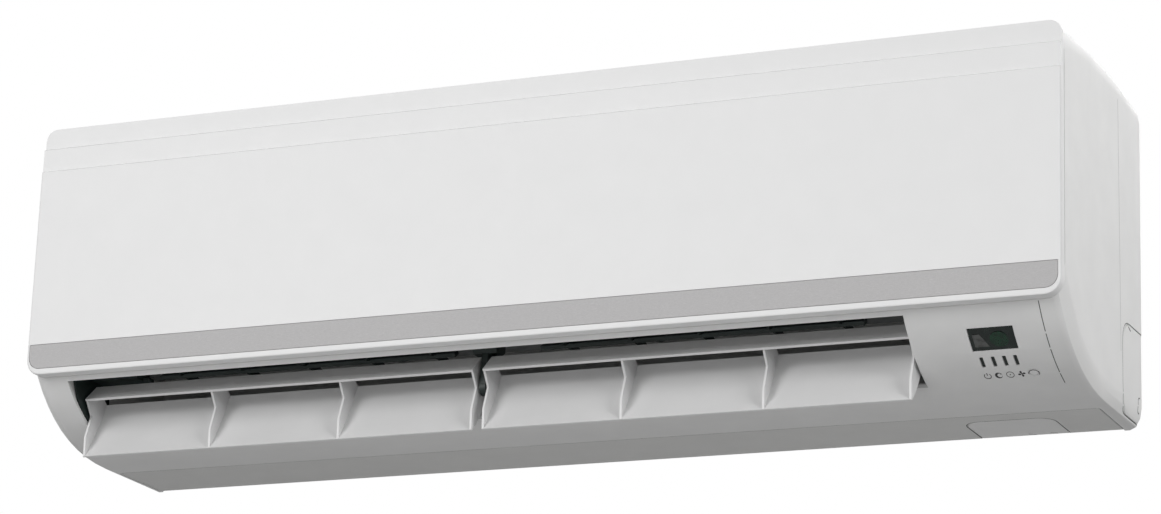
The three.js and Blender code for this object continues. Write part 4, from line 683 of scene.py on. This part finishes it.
class LINE_OT_seam(bpy.types.Operator):
    """Draw the thin seam lines of the casing and the outlines of the knock-outs"""

    bl_idname = "indoor.draw_seam"
    bl_label = "Seam lines"

    def execute(self, context):
        shadow = moulded("seam shadow", (0.04, 0.04, 0.04), 0.8, variation=0.1)
        # This grey is painted shade where it runs down the side's fold; on the underside the same grey
        # draws the real joint of casing and chassis.
        joint_and_crease_shade = moulded("crease grey", (0.22, 0.22, 0.22), 0.7, variation=0.05)
        first, last = SEAM_BACKS
        rays = []
        for i in range(41):
            point, out = belly(first + (last - first) * i / 40)
            rays.append((Vector((SEAM_X * MM, point.y, point.z)) + out * (OFF_BELLY * MM), -out))
        ribbon("belly_seam", rays, 0.3, shadow)
        for side, sign in (("left", -1), ("right", 1)):
            self.side_lines(side, sign, shadow, joint_and_crease_shade)
        self.underside_lines(shadow, joint_and_crease_shade)
        return {"FINISHED"}

    def side_lines(self, side, sign, shadow, joint_and_crease_shade):
        """The knock-out's outline, tab and tick, and a painted shade line along the side's fold before it.
        """

        def cast(path):
            return [(at(sign * BESIDE, back, up), (-sign, 0, 0)) for back, up in path]

        plate = f"side_knockout_plate_{side}"
        outline = rounded_path([(196.5, 68.7), (147.3, 68.7), (147.3, 3.3), (196.5, 3.3)], 18)
        ribbon(f"side_knockout_outline_{side}", cast(outline), 0.3, shadow)
        fold = rounded_path([(139.8, 236), (143.2, 44)], 1, step=8)
        # Painted shade: a grey line standing for the shade along the side's fold.
        ribbon(f"side_crease_{side}", cast(fold), 0.22, joint_and_crease_shade)
        tab = rounded_path([(190.5, 21), (186, 21), (186, 10), (190.5, 10)], 3.5, step=1)
        ribbon(f"side_knockout_tab_{side}", cast(tab), 0.4, shadow, skin=plate)
        tick = [(162 + 1.5 * i, 66.4 - 0.5 * i) for i in range(5)]
        ribbon(f"side_knockout_tick_{side}", cast(tick), 0.5, shadow, skin=plate)

    def underside_lines(self, shadow, joint_and_crease_shade):
        """The joint of casing and chassis, and the knock-out's outline and two ticks."""

        def cast(path):
            return [(at(x, back, BENEATH), (0, 0, 1)) for x, back in path]

        joint = [(x, 127.6) for x in range(-388, 389, 8)]
        ribbon("floor_seam", cast(joint), 0.25, joint_and_crease_shade)
        for side, sign in (("left", -1), ("right", 1)):
            end = [(sign * 390.4, back) for back in range(130, 192, 6)]
            ribbon(f"floor_seam_{side}", cast(end), 0.25, joint_and_crease_shade)
        outline = rounded_path([(286.3, 193), (286.3, 144.3), (351.7, 144.3), (351.7, 193)], 14)
        ribbon("floor_knockout_outline", cast(outline), 0.35, shadow, skin="chassis_shell")
        for name, x in (("a", 322), ("b", 338)):
            tick = [(x + i, 188 + 0.5 * i) for i in range(6)]
            mark = f"floor_knockout_tick_{name}"
            ribbon(mark, cast(tick), 0.4, shadow, skin="floor_knockout_plate")


class NET_OT_filters(bpy.types.Operator):
    """Weave the nets of the two air filters"""

    bl_idname = "indoor.weave_nets"
    bl_label = "Filter nets"

    def execute(self, context):
        pitch = context.scene.unit_sizes.net_pitch
        knee, control, end = FILTER_BEND
        line = [Vector(FILTER_FOOT)]
        for i in range(10):
            t = i / 9
            shares = zip(knee, control, end)
            point = [(1 - t) ** 2 * k + 2 * t * (1 - t) * c + t * t * e for k, c, e in shares]
            line.append(Vector(point))
        reach = [0.0]
        for a, b in zip(line, line[1:]):
            reach.append(reach[-1] + (b - a).length)

        def along(distance):
            for i, (start, stop) in enumerate(zip(reach, reach[1:])):
                if distance <= stop:
                    return line[i].lerp(line[i + 1], (distance - start) / (stop - start))
            return line[-1]

        for side in ("left", "right"):
            low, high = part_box(f"air_filter_{side}")
            width = high[0] - low[0] - 2 * FILTER_MARGIN * MM
            columns = round(width / pitch)
            rows = round((reach[-1] - 2 * FILTER_MARGIN) * MM / pitch)
            bpy.ops.object.select_all(action="DESELECT")
            bpy.ops.mesh.primitive_grid_add(x_subdivisions=columns, y_subdivisions=rows, size=1)
            net = context.object
            net.name = f"filter_net_{side}"
            for vertex in net.data.vertices:
                back, up = along(FILTER_MARGIN + (vertex.co.y + 0.5) * (reach[-1] - 2 * FILTER_MARGIN))
                x = (low[0] + high[0]) / 2 + vertex.co.x * width
                vertex.co = at(x / MM, back, up)
            only(net)
            strands = net.modifiers.new("strands", "WIREFRAME")
            strands.thickness = STRAND * MM
            strands.use_even_offset = False
            bpy.ops.object.modifier_apply(modifier=strands.name)
            dress(net, "filter_blue", "cabinet")
        return {"FINISHED"}


class FINS_OT_coil(bpy.types.Operator):
    """Fill the three coil packs with thin fins"""

    bl_idname = "indoor.stack_fins"
    bl_label = "Coil fins"

    def execute(self, context):
        pitch = context.scene.unit_sizes.fin_pitch
        for node in ("coil_front_lower", "coil_front_upper", "coil_rear"):
            mesh = frame["nodes"][node].data
            low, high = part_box(node)
            end = [v.co for v in mesh.vertices if abs(v.co.x - low[0]) < 0.00005]
            centre = sum(end, Vector()) / len(end)
            corners = {tuple(round(c, 6) for c in (p.y, p.z)): p for p in end}.values()
            far = sorted(corners, key=lambda p: -(p - centre).length)[:4]
            far.sort(key=lambda p: math.atan2(p.z - centre.z, p.y - centre.y))
            bpy.ops.object.select_all(action="DESELECT")
            bpy.ops.mesh.primitive_cube_add(size=1)
            fin = context.object
            fin.name = f"{node}_fins"
            thickness = FIN * MM
            order = {(False, False): 0, (True, False): 1, (True, True): 2, (False, True): 3}
            for vertex in fin.data.vertices:
                corner = far[order[(vertex.co.y > 0, vertex.co.z > 0)]]
                x = low[0] + (thickness if vertex.co.x > 0 else 0)
                vertex.co = (x, corner.y, corner.z)
            only(fin)
            row = fin.modifiers.new("stack", "ARRAY")
            row.use_relative_offset = False
            row.use_constant_offset = True
            row.constant_offset_displace = (pitch, 0, 0)
            row.count = int((high[0] - low[0] - thickness) / pitch) + 1
            bpy.ops.object.modifier_apply(modifier=row.name)
            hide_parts(node)
            dress(fin, slot_of_node(node), body_of_node(node))
        return {"FINISHED"}


class STAGE_OT_studio(bpy.types.Operator):
    """Make the floor, the lamps, the even surrounding light and the camera"""

    bl_idname = "indoor.make_studio"
    bl_label = "Studio"

    def execute(self, context):
        studio = context.scene.studio
        bpy.ops.object.select_all(action="DESELECT")
        bpy.ops.mesh.primitive_plane_add(size=16, location=(0, 0, -studio.floor_drop))
        floor = context.object
        floor.name = "studio_floor"
        paper, _, shader = new_material("studio paper")
        shader.inputs["Base Color"].default_value = (0.66, 0.66, 0.66, 1)
        shader.inputs["Roughness"].default_value = 0.9
        floor.data.materials.append(paper)

        world = bpy.data.worlds.new("studio light")
        context.scene.world = world
        world.use_nodes = True
        tree = world.node_tree
        even = tree.nodes["Background"]
        even.inputs["Color"].default_value = (1, 1, 1, 1)
        rays = tree.nodes.new("ShaderNodeLightPath")
        seen = rays.outputs["Is Camera Ray"]
        for kind in ("Is Glossy Ray", "Is Transmission Ray"):
            either = tree.nodes.new("ShaderNodeMath")
            either.operation = "MAXIMUM"
            tree.links.new(seen, either.inputs[0])
            tree.links.new(rays.outputs[kind], either.inputs[1])
            seen = either.outputs["Value"]
        level = tree.nodes.new("ShaderNodeMapRange")
        level.inputs["To Min"].default_value = studio.ambient
        level.inputs["To Max"].default_value = 1.0
        tree.links.new(seen, level.inputs["Value"])
        tree.links.new(level.outputs["Result"], even.inputs["Strength"])

        def lamp(name, place, size, power, target=(0, -0.1, 0)):
            bpy.ops.object.light_add(type="AREA", location=place)
            light = context.object
            light.name = name
            light.data.shape = "DISK"
            light.data.size = size
            light.data.energy = power
            aim = Vector(target) - Vector(place)
            light.rotation_euler = aim.to_track_quat("-Z", "Y").to_euler()

        lamp("key_lamp", *KEY_LAMP, studio.key_power)
        lamp("side_lamp", *SIDE_LAMP, studio.side_power)
        lamp("rear_lamp", *REAR_LAMP, studio.rear_power)
        lamp("fill_lamp", *FILL_LAMP, studio.fill_power, target=(0, -0.1, -0.08))

        eye = bpy.data.cameras.new("photo camera")
        camera = bpy.data.objects.new("photo_camera", eye)
        context.scene.collection.objects.link(camera)
        camera.location = CAMERA_PLACE
        camera.rotation_euler = [math.radians(a) for a in CAMERA_DEGREES]
        eye.sensor_width = CAMERA_SENSOR
        eye.lens = CAMERA_LENS
        context.scene.camera = camera
        context.scene.view_settings.view_transform = "Standard"
        return {"FINISHED"}


class PANEL_PT_indoor(bpy.types.Panel):
    """Lists the operators and settings of the indoor unit"""

    bl_label = "Indoor Unit"
    bl_idname = "PANEL_PT_indoor"
    bl_space_type = "VIEW_3D"
    bl_region_type = "UI"
    bl_category = "Indoor Unit"

    def draw(self, context):
        for group in (context.scene.unit_colours, context.scene.unit_sizes, context.scene.studio):
            box = self.layout.box()
            for name in group.bl_rna.properties.keys():
                if name not in ("rna_type", "name"):
                    box.prop(group, name)
        for operator in OPERATORS:
            self.layout.operator(operator.bl_idname)


GROUPS = {"unit_colours": UnitColours, "unit_sizes": UnitSizes, "studio": StudioSettings}
OPERATORS = (
    FINISH_OT_nodes,
    SMOOTH_OT_mouldings,
    SMOOTH_OT_inside,
    MARK_OT_icons,
    LENS_OT_display,
    LINE_OT_seam,
    NET_OT_filters,
    FINS_OT_coil,
    STAGE_OT_studio,
)


def register():
    """Adds the settings, the operators and the sidebar."""
    for cls in (*GROUPS.values(), *OPERATORS, PANEL_PT_indoor):
        bpy.utils.register_class(cls)
    for name, group in GROUPS.items():
        setattr(bpy.types.Scene, name, bpy.props.PointerProperty(type=group))


def unregister():
    """Takes them away again."""
    for name in GROUPS:
        delattr(bpy.types.Scene, name)
    for cls in reversed((*GROUPS.values(), *OPERATORS, PANEL_PT_indoor)):
        bpy.utils.unregister_class(cls)


def main():
    """Registers the add-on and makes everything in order."""
    register()
    for operator in OPERATORS:
        group, call = operator.bl_idname.split(".")
        getattr(getattr(bpy.ops, group), call)()


if __name__ == "__main__":
    main()
